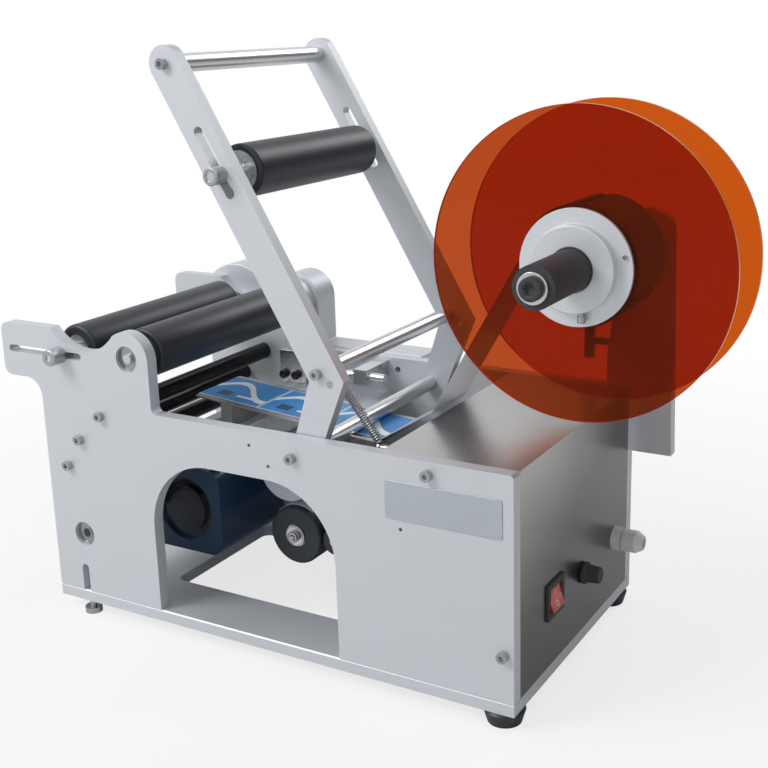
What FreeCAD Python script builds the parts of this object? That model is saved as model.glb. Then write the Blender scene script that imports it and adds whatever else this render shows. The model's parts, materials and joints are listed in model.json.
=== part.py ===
"""Semi-automatic labelling machine for round bottles, as a parametric document.

Machine frame, in millimetres: x runs from the bottle rollers to the control box, y from the
near side plate to the far one, z up from the underside of the base plate.  The outer face of
the near plate is y = 0.  Every sub-part is moved by the same offset, so that the exported
model stands on z = 0 with its bounding box centred on the z axis.
"""
import FreeCAD
import Part
import Sketcher
import math
import os
import re

from FreeCAD import Rotation, Vector

SIZES = {
    # base plate and feet
    "base_length": 445.0,
    "base_thick": 10.0,
    "base_bevel": 1.0,
    "window_start": 88.0,
    "window_length": 212.0,
    "window_width": 137.0,
    "window_corner": 8.0,
    "foot_radius": 16.0,
    "foot_tall": 12.0,
    "foot_inset": 14.0,
    "leveller_inset": 31.5,
    "leveller_radius": 7.5,
    "leveller_stud": 3.0,
    # side plates
    "plate_thick": 11.0,
    "plate_gap": 223.0,
    "plate_top": 186.0,
    "plate_corner": 3.0,
    "lobe_radius": 22.5,
    "lobe_corner": 5.0,
    "lug_reach": 42.0,
    "lug_bottom": 201.5,
    "lug_top": 248.5,
    "lug_corner": 8.0,
    "lug_fillet": 16.0,
    "scallop_middle": 52.0,
    "scallop_height": 276.0,
    "scallop_radius": 44.5,
    "arch_start": 116.0,
    "arch_width": 180.0,
    "arch_top": 148.0,
    "arch_corner": 61.0,
    "lug_slot_start": -34.0,
    "lug_slot_finish": 49.6,
    "lug_slot_width": 6.0,
    "key_slot_width": 7.9,
    "key_slot_top": 35.0,
    # bottle rollers
    "driven_middle": 100.0,
    "driven_height": 230.0,
    "adjust_middle": 26.0,
    "adjust_height": 226.0,
    "roller_radius": 21.0,
    "roller_length": 187.0,
    "roller_edge": 3.0,
    "rubber_thick": 5.0,
    "bearing_radius": 11.0,
    "bearing_width": 7.0,
    "bearing_lip": 1.8,
    "shaft_radius": 4.0,
    "thread_radius": 2.8,
    "running_gap": 0.05,
    "free_gap": 0.3,
    "nut_radius": 7.25,
    "nut_length": 14.0,
    "lower_middle": 34.5,
    "lower_height": 64.4,
    "lower_radius": 10.0,
    # swinging frame with the pressing roller
    "pivot_middle": 260.0,
    "pivot_height": 170.0,
    "rod_radius": 6.5,
    "arm_thick": 10.0,
    "arm_gap": 1.0,
    "arm_width": 28.0,
    "arm_foot_drop": 12.0,
    "arm_foot_radius": 11.5,
    "bend_forward": 26.7,
    "bend_rise": 60.5,
    "arm_lean": 30.0,
    "arm_upper": 269.6,
    "handle_radius": 7.25,
    "cross_back": 7.7,
    "cross_rise": 5.5,
    "post_forward": 3.3,
    "post_drop": 1.5,
    "post_radius": 3.0,
    "post_reach": 12.0,
    "press_upward": 175.0,
    "press_slot_low": 159.0,
    "press_slot_high": 211.5,
    "press_radius": 21.0,
    "press_length": 172.0,
    "press_knob_radius": 7.0,
    "press_knob_length": 13.0,
    # return spring
    "spring_radius": 4.0,
    "spring_wire": 0.7,
    "spring_turns": 22.0,
    "anchor_height": 180.0,
    "anchor_reach": 14.0,
    # label table
    "table_thick": 5.0,
    "table_height": 152.0,
    "table_start": 100.0,
    "table_length": 130.0,
    "table_window_inset": 13.0,
    "peel_start": 99.0,
    "peel_finish": 288.0,
    "peel_thick": 1.5,
    "peel_height": 176.0,
    "peel_drop": 15.5,
    "web_width": 58.0,
    "web_side": 89.5,
    "web_thick": 0.4,
    "web_crease": 286.0,
    "rib_width": 12.0,
    "tie_radius": 8.0,
    # control box
    "box_start": 336.0,
    "sheet_thick": 1.5,
    "rocker_middle": 73.5,
    "rocker_height": 64.0,
    "rocker_width": 31.0,
    "rocker_tall": 29.0,
    "rocker_rim": 3.0,
    "rocker_lip": 2.0,
    "rocker_depth": 22.0,
    "knob_middle": 133.0,
    "knob_height": 59.0,
    "knob_radius": 7.5,
    "knob_length": 14.0,
    "knob_skirt": 9.0,
    "gland_middle": 204.0,
    "gland_height": 61.0,
    "gland_radius": 10.0,
    "gland_length": 26.0,
    # label reel
    "reel_middle": 455.0,
    "reel_height": 316.5,
    "disc_radius": 115.0,
    "disc_thick": 3.0,
    "disc_space": 59.0,
    "front_disc_side": 86.0,
    "flange_radius": 43.0,
    "flange_thick": 3.0,
    "boss_radius": 24.0,
    "boss_length": 8.0,
    "sleeve_radius": 15.5,
    "sleeve_start": 8.0,
    "axle_radius": 8.0,
    "core_radius": 45.0,
    "core_segments": 3.0,
    "core_slit": 7.0,
    "bracket_thick": 11.0,
    "bracket_half": 20.0,
    "bracket_low": 126.0,
    "clamp_height": 219.0,
    "clamp_length": 30.0,
    "clamp_width": 30.0,
    # drive train
    "motor_middle": 92.0,
    "motor_height": 74.0,
    "motor_square": 80.0,
    "motor_corner": 13.0,
    "motor_length": 96.0,
    "gearbox_length": 70.0,
    "traction_middle": 200.0,
    "traction_height": 62.0,
    "traction_radius": 26.0,
    "traction_start": 85.0,
    "pinch_radius": 12.0,
    "takeup_middle": 190.0,
    "takeup_height": 118.0,
    "takeup_radius": 27.0,
    "pulley_radius": 15.0,
    "pulley_width": 8.0,
    "belt_thick": 2.0,
    "cover_depth": 27.0,
    "cover_lobe": 26.0,
    "cover_start": 60.0,
    "cover_length": 176.0,
    "cover_low": 28.0,
    "cover_step": 152.0,
    # fasteners
    "screw_head": 4.25,
    "screw_tall": 5.0,
    "screw_thread": 2.5,
    "screw_length": 12.0,
    "socket_radius": 2.0,
    "socket_depth": 2.5,
}

# Places that several sub-parts share, as formulas of the sizes above.
FAR_INNER = "(plate_thick + plate_gap)"
FAR_OUTER = "(plate_gap + 2 * plate_thick)"
MIDDLE_Y = "(plate_thick + plate_gap / 2)"
ROLLER_Y = "(plate_thick + (plate_gap - roller_length) / 2)"
BEND_X = "(pivot_middle + bend_forward)"
BEND_Z = "(pivot_height + bend_rise)"
HANDLE_X = "(pivot_middle + bend_forward - arm_upper * sin(arm_lean))"
HANDLE_Z = "(pivot_height + bend_rise + arm_upper * cos(arm_lean))"
PRESS_X = "(pivot_middle + bend_forward - press_upward * sin(arm_lean))"
PRESS_Z = "(pivot_height + bend_rise + press_upward * cos(arm_lean))"
CROSS_X = "(pivot_middle + bend_forward - cross_back)"
CROSS_Z = "(pivot_height + bend_rise + cross_rise)"
NEAR_ARM_Y = "(plate_thick + arm_gap)"
FAR_ARM_Y = "(plate_thick + plate_gap - arm_gap - arm_thick)"
POST_X = "(pivot_middle + bend_forward + post_forward)"
POST_Z = "(pivot_height + bend_rise - post_drop)"
SPRING_Y = "(plate_thick + arm_gap + arm_thick + post_reach / 2 - 1)"
REAR_DISC_Y = "(front_disc_side + disc_thick + disc_space)"
BRACKET_Y = FAR_OUTER
PULLEY_Y = "(plate_gap + 2 * plate_thick + 2)"
OUTER_PULLEY_Y = "(plate_gap + 2 * plate_thick + pulley_width + 4)"
TRACTION_PULLEY = "(pulley_radius * traction_radius / roller_radius)"
PINCH_X = "(traction_middle + traction_radius + pinch_radius + free_gap)"
ORIGIN_X = "((reel_middle + disc_radius - lug_reach) / 2)"
ORIGIN_Y = "((plate_gap + 2 * plate_thick + cover_depth - nut_length) / 2)"
ORIGIN_Z = "(-foot_tall)"

doc = FreeCAD.newDocument("bottle_labeller")
sheet = doc.addObject("Spreadsheet::Sheet", "Sizes")
PLACES = {}
PARTS = []


# ---------------------------------------------------------------- sheet and formulas
def fill_sheet():
    """Write each size and its name into the sheet."""
    for row, (alias, value) in enumerate(SIZES.items(), start=1):
        sheet.set(f"A{row}", alias)
        sheet.set(f"B{row}", str(value))
        sheet.setAlias(f"B{row}", alias)
    doc.recompute()


def in_sheet(formula):
    """Point every size named in a formula at its cell."""
    return re.sub(r"[a-z][a-z_]*", lambda m: "Sizes." + m.group() if m.group() in SIZES else m.group(),
                  str(formula))


def number(formula):
    """Give the present value of a formula, for finding edges and drawing first guesses."""
    return float(sheet.evalExpression(in_sheet(formula)))


def bind(obj, name, formula):
    """Tie one property of an object to a formula of the sizes."""
    obj.setExpression(name, in_sheet(formula))


def place(obj, x="0", y="0", z="0", turn=None):
    """Tie an object's position to formulas, in the machine frame."""
    PLACES[obj.Name] = (x, y, z)
    for axis, formula in zip("xyz", (x, y, z)):
        bind(obj, f"Placement.Base.{axis}", formula)
    if turn is not None:
        obj.Placement = FreeCAD.Placement(obj.Placement.Base, turn)
    return obj


def sub_part(obj):
    """Label an object as a sub-part and shift it from the machine frame to the part's own."""
    x, y, z = PLACES.get(obj.Name, ("0", "0", "0"))
    bind(obj, "Placement.Base.x", f"{x} - {ORIGIN_X}")
    bind(obj, "Placement.Base.y", f"{y} - {ORIGIN_Y}")
    bind(obj, "Placement.Base.z", f"{z} - {ORIGIN_Z}")
    obj.Label = obj.Name
    PARTS.append(obj)
    return obj


# ---------------------------------------------------------------- primitives and booleans
TURNS = {
    "x": Rotation(Vector(0, 1, 0), 90),
    "y": Rotation(Vector(1, 0, 0), -90),
    "z": Rotation(),
}


def rod(name, radius, length, x, y, z, along="y"):
    """A cylinder that starts at a point and runs along one axis."""
    obj = doc.addObject("Part::Cylinder", name)
    bind(obj, "Radius", radius)
    bind(obj, "Height", length)
    return place(obj, x, y, z, TURNS[along])


def block(name, size, corner):
    """A box with its lowest corner at a point."""
    obj = doc.addObject("Part::Box", name)
    for side, formula in zip(("Length", "Width", "Height"), size):
        bind(obj, side, formula)
    return place(obj, *corner)


def cut(name, base, *tools):
    """Take one or more tools out of a base."""
    for count, tool in enumerate(tools, start=1):
        obj = doc.addObject("Part::Cut", name if count == len(tools) else f"{name}_cut{count}")
        obj.Base = base
        obj.Tool = tool
        base = obj
    return base


def fuse(name, *pieces):
    """Join pieces that touch into one solid."""
    obj = doc.addObject("Part::MultiFuse", name)
    obj.Shapes = list(pieces)
    obj.Refine = True
    return obj


def group(name, *pieces):
    """Keep separate solids together in one node."""
    obj = doc.addObject("Part::Compound", name)
    obj.Links = list(pieces)
    return obj


def tube(name, outer, inner, length, x, y, z, along="y"):
    """A round tube."""
    wall = rod(f"{name}_wall", outer, length, x, y, z, along)
    bore = rod(f"{name}_bore", inner, length, x, y, z, along)
    return cut(name, wall, bore)


def cap_screw(name, x, y, z, facing):
    """A socket cap screw seated at a face; facing is the side on which its head stands proud."""
    spot = {"x": x, "y": y, "z": z}
    axis = facing[-1]
    sign = -1 if facing[0] == "-" else 1

    def start(offset, length):
        moved = dict(spot)
        shift = offset if sign > 0 else f"-({offset}) - ({length})"
        moved[axis] = f"{spot[axis]} + ({shift})"
        return moved["x"], moved["y"], moved["z"]

    head = rod(f"{name}_head", "screw_head", "screw_tall", *start("0", "screw_tall"), axis)
    thread = rod(f"{name}_thread", "screw_thread", "screw_length",
                 *start("-screw_length", "screw_length"), axis)
    socket = rod(f"{name}_socket", "socket_radius", "socket_depth",
                 *start("screw_tall - socket_depth", "socket_depth"), axis)
    return cut(name, fuse(f"{name}_solid", head, thread), socket)


# ---------------------------------------------------------------- bodies and sketches
def new_body(name):
    """A PartDesign body."""
    return doc.addObject("PartDesign::Body", name)


def new_sketch(body, name, role="XZ_Plane"):
    """A sketch on one of the body's own origin planes."""
    plane = next(item for item in body.Origin.OriginFeatures if item.Role == role)
    sketch = body.newObject("Sketcher::SketchObject", name)
    sketch.AttachmentSupport = (plane, [""])
    sketch.MapMode = "FlatFace"
    return sketch


def hold(sketch, kind, places, formula):
    """Add one driving constraint to a sketch and tie it to a formula."""
    value = number(formula)
    if kind in ("DistanceX", "DistanceY") and value < 0:
        places = places[2:] + places[:2]
        formula = f"-({formula})"
    index = sketch.addConstraint(Sketcher.Constraint(kind, *places, abs(value)))
    bind(sketch, f"Constraints[{index}]", formula)


def pin_point(sketch, geometry, point, x, y):
    """Fix one point of the sketch from its origin."""
    for kind, axis, formula in (("DistanceX", -2, x), ("DistanceY", -1, y)):
        if abs(number(formula)) < 1e-9:
            sketch.addConstraint(Sketcher.Constraint("PointOnObject", geometry, point, axis))
        else:
            hold(sketch, kind, (-1, 1, geometry, point), formula)


def draw_circle(sketch, x, y, radius):
    """A circle from its middle and radius."""
    circle = Part.Circle(Vector(number(x), number(y), 0), Vector(0, 0, 1), number(radius))
    index = sketch.addGeometry(circle)
    hold(sketch, "Radius", (index,), radius)
    pin_point(sketch, index, 3, x, y)


def draw_outline(sketch, points):
    """A closed outline of straight sides through the given points."""
    spots = [Vector(number(x), number(y), 0) for x, y in points]
    lines = [sketch.addGeometry(Part.LineSegment(a, b)) for a, b in zip(spots, spots[1:] + spots[:1])]
    for here, following in zip(lines, lines[1:] + lines[:1]):
        sketch.addConstraint(Sketcher.Constraint("Coincident", here, 2, following, 1))
    for line, (x, y) in zip(lines, points):
        pin_point(sketch, line, 1, x, y)


def draw_box(sketch, x_low, y_low, x_high, y_high):
    """A rectangle from two opposite corners."""
    draw_outline(sketch, [(x_low, y_low), (x_high, y_low), (x_high, y_high), (x_low, y_high)])


def pad(body, sketch, length):
    """Pad a sketch of the XZ plane towards +y, or of another plane along its normal."""
    feature = body.newObject("PartDesign::Pad", f"{sketch.Name}_pad")
    feature.Profile = sketch
    bind(feature, "Length", length)
    feature.Reversed = sketch.AttachmentSupport[0][0].Role == "XZ_Plane"
    sketch.Visibility = False
    doc.recompute()
    return feature


def pocket(body, sketch):
    """Cut a sketch of the XZ plane right through towards +y, or up along the normal."""
    before = body.Shape.Volume
    feature = body.newObject("PartDesign::Pocket", f"{sketch.Name}_pocket")
    feature.Profile = sketch
    feature.Type = "ThroughAll"
    feature.Reversed = sketch.AttachmentSupport[0][0].Role != "XZ_Plane"
    doc.recompute()
    if body.Shape.Volume > before - 1e-6:
        raise RuntimeError(f"{sketch.Name} cuts nothing")
    return feature


def revolve(body, sketch, axis="H_Axis"):
    """Turn a sketch once round one of its own axes."""
    feature = body.newObject("PartDesign::Revolution", f"{sketch.Name}_turned")
    feature.Profile = sketch
    feature.ReferenceAxis = (sketch, [axis])
    feature.Angle = 360
    doc.recompute()
    return feature


def edges_at(shape, test):
    """Names of the edges whose ends and middle all pass a test."""
    found = []
    for index, edge in enumerate(shape.Edges, start=1):
        points = [vertex.Point for vertex in edge.Vertexes]
        points.append(edge.valueAt((edge.FirstParameter + edge.LastParameter) / 2))
        if all(test(point) for point in points):
            found.append(f"Edge{index}")
    return found


def near(value, formula):
    """Whether a coordinate is at the place that a formula gives."""
    return abs(value - number(formula)) < 1e-3


def round_edges(body, name, test, radius, kind="Fillet"):
    """Fillet or chamfer the edges that pass a test."""
    tip = body.Tip
    edges = edges_at(tip.Shape, test)
    if not edges:
        raise RuntimeError(f"{name} finds no edge")
    feature = body.newObject(f"PartDesign::{kind}", name)
    feature.Base = (tip, edges)
    bind(feature, "Radius" if kind == "Fillet" else "Size", radius)
    doc.recompute()
    return feature


def turned(name, points, x, y, z, along="y"):
    """A turned solid; its points are (distance along the axis, radius)."""
    body = new_body(name)
    role = {"y": "YZ_Plane", "x": "XZ_Plane", "z": "XZ_Plane"}[along]
    sketch = new_sketch(body, f"{name}_section", role)
    if along == "z":
        draw_outline(sketch, [(radius, distance) for distance, radius in points])
        revolve(body, sketch, "V_Axis")
    else:
        draw_outline(sketch, points)
        revolve(body, sketch)
    return place(body, x, y, z)


# ---------------------------------------------------------------- base and side plates
def base_plate():
    """Flat plate with a bevelled rim and a large rounded window under the drive."""
    body = new_body("base_plate")
    outline = new_sketch(body, "base_outline", "XY_Plane")
    draw_box(outline, "0", "0", "base_length", FAR_OUTER)
    pad(body, outline, "base_thick")
    window = new_sketch(body, "base_window", "XY_Plane")
    draw_box(window, "window_start", f"{MIDDLE_Y} - window_width / 2",
             "window_start + window_length", f"{MIDDLE_Y} + window_width / 2")
    pocket(body, window)
    round_edges(body, "base_window_corners",
                lambda p: abs(p.y - number(MIDDLE_Y)) <= SIZES["window_width"] / 2 + 1e-3
                and (near(p.x, "window_start") or near(p.x, "window_start + window_length"))
                and near(abs(p.y - number(MIDDLE_Y)), "window_width / 2"), "window_corner")
    round_edges(body, "base_rim",
                lambda p: near(p.z, "base_thick") and
                (near(p.x, "0") or near(p.x, "base_length") or near(p.y, "0") or near(p.y, FAR_OUTER)),
                "base_bevel", "Chamfer")
    sub_part(place(body))


def side_plate(name, y, has_arch, holes):
    """One side plate: low main panel, tall post with a lobe, and a slotted lug."""
    body = new_body(name)
    panel = new_sketch(body, f"{name}_panel")
    draw_box(panel, "0", "base_thick", "base_length", "plate_top")
    pad(body, panel, "plate_thick")
    post = new_sketch(body, f"{name}_post")
    draw_box(post, "0", "base_thick", "driven_middle + lobe_radius", "driven_height")
    pad(body, post, "plate_thick")
    lug = new_sketch(body, f"{name}_lug")
    draw_box(lug, "-lug_reach", "lug_bottom", "driven_middle", "lug_top")
    pad(body, lug, "plate_thick")
    lobe = new_sketch(body, f"{name}_lobe")
    draw_circle(lobe, "driven_middle", "driven_height", "lobe_radius")
    pad(body, lobe, "plate_thick")
    scallop = new_sketch(body, f"{name}_scallop")
    draw_circle(scallop, "scallop_middle", "scallop_height", "scallop_radius")
    pocket(body, scallop)
    round_edges(body, f"{name}_lug_corners",
                lambda p: near(p.x, "-lug_reach") and (near(p.z, "lug_bottom") or near(p.z, "lug_top")),
                "lug_corner")
    round_edges(body, f"{name}_lug_fillet",
                lambda p: near(p.x, "0") and near(p.z, "lug_bottom"), "lug_fillet")
    round_edges(body, f"{name}_post_fillet",
                lambda p: near(p.x, "driven_middle + lobe_radius") and near(p.z, "plate_top"), "lobe_corner")
    round_edges(body, f"{name}_end_corner",
                lambda p: near(p.x, "base_length") and near(p.z, "plate_top"), "plate_corner")
    if has_arch:
        arch = new_sketch(body, f"{name}_arch")
        draw_box(arch, "arch_start", "base_thick", "arch_start + arch_width", "arch_top")
        pocket(body, arch)
        round_edges(body, f"{name}_arch_corners",
                    lambda p: near(p.z, "arch_top") and
                    (near(p.x, "arch_start") or near(p.x, "arch_start + arch_width")), "arch_corner")
    slot = new_sketch(body, f"{name}_slot")
    draw_box(slot, "lug_slot_start + lug_slot_width / 2", "adjust_height - lug_slot_width / 2",
             "lug_slot_finish - lug_slot_width / 2", "adjust_height + lug_slot_width / 2")
    pocket(body, slot)
    key = new_sketch(body, f"{name}_key_slot")
    draw_box(key, "leveller_inset - key_slot_width / 2", "base_thick",
             "leveller_inset + key_slot_width / 2", "key_slot_top - key_slot_width / 2")
    pocket(body, key)
    round_holes = [
        ("lug_slot_start + lug_slot_width / 2", "adjust_height", "lug_slot_width / 2"),
        ("lug_slot_finish - lug_slot_width / 2", "adjust_height", "lug_slot_width / 2"),
        ("leveller_inset", "key_slot_top - key_slot_width / 2", "key_slot_width / 2"),
        ("driven_middle", "driven_height", "bearing_radius"),
        ("lower_middle", "lower_height", "bearing_radius"),
    ]
    for index, (x, z, radius) in enumerate(round_holes + holes, start=1):
        hole = new_sketch(body, f"{name}_hole{index}")
        draw_circle(hole, x, z, radius)
        pocket(body, hole)
    sub_part(place(body, "0", y, "0"))


SCREW_SPOTS = {
    "upper_tie": ("66", "177"),
    "middle_tie": ("40", "152.5"),
    "lower_tie": ("24", "127"),
    "pivot": ("pivot_middle", "pivot_height"),
    "box_top": ("378", "176"),
    "box_low": ("437", "48"),
}
TIE_SPOTS = ("upper_tie", "middle_tie", "lower_tie")


def side_plates():
    """Both side plates; only the near one is open at the drive."""
    screw_holes = [(x, z, "screw_thread + running_gap") for x, z in SCREW_SPOTS.values()]
    drive_holes = [
        ("traction_middle", "traction_height", "bearing_radius"),
        ("takeup_middle", "takeup_height", "bearing_radius"),
        ("motor_middle", "motor_height", "bearing_radius + 3"),
        ("220", "175", "3"),
        ("base_length - 12", "bracket_low + 14", "screw_thread + running_gap"),
        ("base_length - 12", "plate_top - 14", "screw_thread + running_gap"),
    ]
    small_holes = [("220", "174.4", "1.5"), ("237.4", "159.7", "1.5"), ("354.3", "129.5", "1.5")]
    side_plate("near_side_plate", "0", True, screw_holes + small_holes)
    side_plate("far_side_plate", FAR_INNER, False, screw_holes + drive_holes)


def plate_screws():
    """Cap screws on the outer faces of both side plates."""
    screws = []
    for key, (x, z) in SCREW_SPOTS.items():
        screws.append(cap_screw(f"near_screw_{key}", x, "0", z, "-y"))
        screws.append(cap_screw(f"far_screw_{key}", x, FAR_OUTER, z, "+y"))
    for side, z in (("low", "bracket_low + 14"), ("high", "plate_top - 14")):
        screws.append(cap_screw(f"bracket_screw_{side}", "base_length - 12",
                                f"{BRACKET_Y} + bracket_thick", z, "+y"))
    screws.append(rod("pinch_pivot", "shaft_radius", "9", f"{PINCH_X} + 26", f"({FAR_INNER} - 9)",
                      "traction_height - 10"))
    head = ("box_start - anchor_reach", SPRING_Y, "anchor_height")
    stem = rod("spring_pin_stem", "post_radius - 0.5", "anchor_reach", *head, "x")
    cap = rod("spring_pin_cap", "post_radius + 1", "1.5", *head, "x")
    screws.append(fuse("spring_pin", stem, cap))
    sub_part(group("frame_fasteners", *screws))


def feet():
    """Two rubber feet under the control box and two levelling feet at the roller end."""
    rubber = []
    for side, y in (("near", "foot_inset"), ("far", f"{FAR_OUTER} - foot_inset")):
        rubber.append(turned(f"{side}_rubber_foot",
                             [("0", "0"), ("0", "foot_radius - 2"), ("-2", "foot_radius"),
                              ("-foot_tall", "foot_radius - 3"), ("-foot_tall", "0")],
                             "base_length - foot_inset", y, "0", "z"))
    sub_part(group("rubber_feet", *rubber))
    steel = []
    for side, y in (("near", "plate_thick / 2"), ("far", f"{FAR_OUTER} - plate_thick / 2")):
        steel.append(turned(f"{side}_leveller",
                            [("-foot_tall", "0"), ("-foot_tall", "leveller_radius"),
                             ("-foot_tall + 5", "leveller_radius"), ("-foot_tall + 5", "leveller_stud"),
                             ("0", "leveller_stud"), ("0", "0")],
                            "leveller_inset", y, "0", "z"))
    sub_part(group("levelling_feet", *steel))


def tie_rods():
    """Three round spacers that hold the side plates apart."""
    ties = []
    for key in TIE_SPOTS:
        x, z = SCREW_SPOTS[key]
        bar = rod(f"{key}_bar", "tie_radius", "plate_gap", x, "plate_thick", z)
        near_tap = rod(f"{key}_near_tap", "screw_thread + running_gap", "screw_length", x, "plate_thick", z)
        far_tap = rod(f"{key}_far_tap", "screw_thread + running_gap", "screw_length",
                      x, f"{FAR_INNER} - screw_length", z)
        ties.append(cut(f"{key}_rod", bar, near_tap, far_tap))
    sub_part(group("frame_tie_rods", *ties))


# ---------------------------------------------------------------- bearings and rollers
def bearing(name, x, y, z):
    """A closed ball bearing as a ring with a recessed shield on both faces."""
    ring = tube(f"{name}_ring", "bearing_radius", "shaft_radius + running_gap", "bearing_width", x, y, z)
    recesses = []
    for side, shift in (("a", "0"), ("b", "bearing_width - 0.6")):
        recesses.append(tube(f"{name}_recess_{side}", "bearing_radius - bearing_lip",
                             "shaft_radius + bearing_lip", "0.6", x, f"{y} + {shift}", z))
    return cut(name, ring, *recesses)


def plate_bearings():
    """Ball bearings pressed into the side plates."""
    near_y = "plate_thick - bearing_width - 1"
    far_y = f"{FAR_INNER} + 1"
    rings = [
        bearing("near_driven_bearing", "driven_middle", near_y, "driven_height"),
        bearing("far_driven_bearing", "driven_middle", far_y, "driven_height"),
        bearing("near_lower_bearing", "lower_middle", near_y, "lower_height"),
        bearing("far_lower_bearing", "lower_middle", far_y, "lower_height"),
        bearing("traction_bearing", "traction_middle", far_y, "traction_height"),
        bearing("takeup_bearing", "takeup_middle", far_y, "takeup_height"),
    ]
    sub_part(group("plate_bearings", *rings))


def rubber_sleeve(name, radius, length, x, y, z):
    """Rubber cover of a roller, rounded at both ends."""
    body = new_body(name)
    section = new_sketch(body, f"{name}_section", "YZ_Plane")
    draw_box(section, "0", f"{radius} - rubber_thick", length, radius)
    revolve(body, section)
    round_edges(body, f"{name}_ends",
                lambda p: near(math.hypot(p.x, p.z), radius) and (near(p.y, "0") or near(p.y, length)),
                "roller_edge")
    sub_part(place(body, x, y, z))


def driven_roller():
    """Right-hand bottle roller: it turns in the side plates and carries a pulley outside."""
    start = f"-({ROLLER_Y} - 1)"
    core = turned("driven_roller_shaft",
                    [(start, "0"), (start, "shaft_radius"), ("0", "shaft_radius"),
                     ("0", "roller_radius - rubber_thick"),
                     ("roller_length", "roller_radius - rubber_thick"), ("roller_length", "shaft_radius"),
                     (f"{PULLEY_Y} + pulley_width - {ROLLER_Y}", "shaft_radius"),
                     (f"{PULLEY_Y} + pulley_width - {ROLLER_Y}", "0")],
                    "driven_middle", ROLLER_Y, "driven_height")
    wheel = pulley("driven_pulley", "pulley_radius", "driven_middle", PULLEY_Y, "driven_height")
    sub_part(group("driven_roller_core", core, wheel))
    rubber_sleeve("driven_roller_rubber", "roller_radius", "roller_length",
                  "driven_middle", ROLLER_Y, "driven_height")


def hollow_roller(prefix, radius, length, x, y, z):
    """Free roller: rubber on an aluminium tube that turns on two bearings."""
    rubber_sleeve(f"{prefix}_rubber", radius, length, x, y, z)
    sub_part(group(f"{prefix}_core",
                   tube(f"{prefix}_tube", f"{radius} - rubber_thick", "bearing_radius", length, x, y, z),
                   bearing(f"{prefix}_near_bearing", x, f"{y} + 1", z),
                   bearing(f"{prefix}_far_bearing", x, f"{y} + {length} - bearing_width - 1", z)))


def thumb_nut(name, radius, length, x, y, z, bore):
    """Cylindrical knurled nut with a bevelled rim."""
    section = [("0", bore), ("0", radius), (f"{length} - 1", radius), (length, f"{radius} - 1"), (length, bore)]
    sub_part(turned(name, section, x, y, z))


def adjustable_roller():
    """Left-hand bottle roller on a dead shaft that slides in the lug slots."""
    hollow_roller("adjustable_roller", "roller_radius", "roller_length",
                  "adjust_middle", ROLLER_Y, "adjust_height")
    tip = "nut_length - 1"
    sub_part(turned("adjustable_shaft",
                    [(f"-({tip})", "0"), (f"-({tip})", "thread_radius"),
                     ("plate_thick + arm_gap", "thread_radius"), ("plate_thick + arm_gap", "shaft_radius"),
                     (f"{FAR_INNER} - arm_gap", "shaft_radius"), (f"{FAR_INNER} - arm_gap", "thread_radius"),
                     (f"{FAR_OUTER} + {tip}", "thread_radius"), (f"{FAR_OUTER} + {tip}", "0")],
                    "adjust_middle", "0", "adjust_height"))
    bore = "thread_radius + running_gap"
    section = [("0", bore), ("0", "nut_radius - 1"), ("1", "nut_radius"), ("nut_length", "nut_radius"),
               ("nut_length", bore)]
    sub_part(turned("near_clamp_nut", section, "adjust_middle", "-nut_length", "adjust_height"))
    thumb_nut("far_clamp_nut", "nut_radius", "nut_length", "adjust_middle", FAR_OUTER, "adjust_height", bore)


def lower_roller():
    """Slim guide roller between the side plates, low at the roller end."""
    start = "(plate_thick - bearing_width - 1)"
    body_start = "(plate_thick + 18)"
    body_end = f"({FAR_INNER} - 18)"
    tip = f"({FAR_INNER} + bearing_width + 1)"
    sub_part(turned("lower_guide_roller",
                    [(start, "0"), (start, "shaft_radius"), (body_start, "shaft_radius"),
                     (body_start, "lower_radius"), (body_end, "lower_radius"), (body_end, "shaft_radius"),
                     (tip, "shaft_radius"), (tip, "0")],
                    "lower_middle", "0", "lower_height"))


# ---------------------------------------------------------------- swinging frame
def arm_outline():
    """Six corners of an arm: foot, mitred bend and top."""
    rake = "(atan(bend_forward / (bend_rise + arm_foot_drop)) / 1 deg)"
    half = "(arm_width / 2)"
    mitre = f"({half} / cos((arm_lean + {rake}) / 2))"
    foot_x = "pivot_middle"
    foot_z = "(pivot_height - arm_foot_drop)"
    tilt = f"((arm_lean - {rake}) / 2)"
    return [
        (f"{foot_x} - arm_foot_radius * cos({rake})", f"{foot_z} + arm_foot_radius * sin({rake})"),
        (f"{foot_x} + arm_foot_radius * cos({rake})", f"{foot_z} - arm_foot_radius * sin({rake})"),
        (f"{BEND_X} + {mitre} * cos({tilt})", f"{BEND_Z} + {mitre} * sin({tilt})"),
        (f"{HANDLE_X} + {half} * cos(arm_lean)", f"{HANDLE_Z} + {half} * sin(arm_lean)"),
        (f"{HANDLE_X} - {half} * cos(arm_lean)", f"{HANDLE_Z} - {half} * sin(arm_lean)"),
        (f"{BEND_X} - {mitre} * cos({tilt})", f"{BEND_Z} - {mitre} * sin({tilt})"),
    ]


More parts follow.
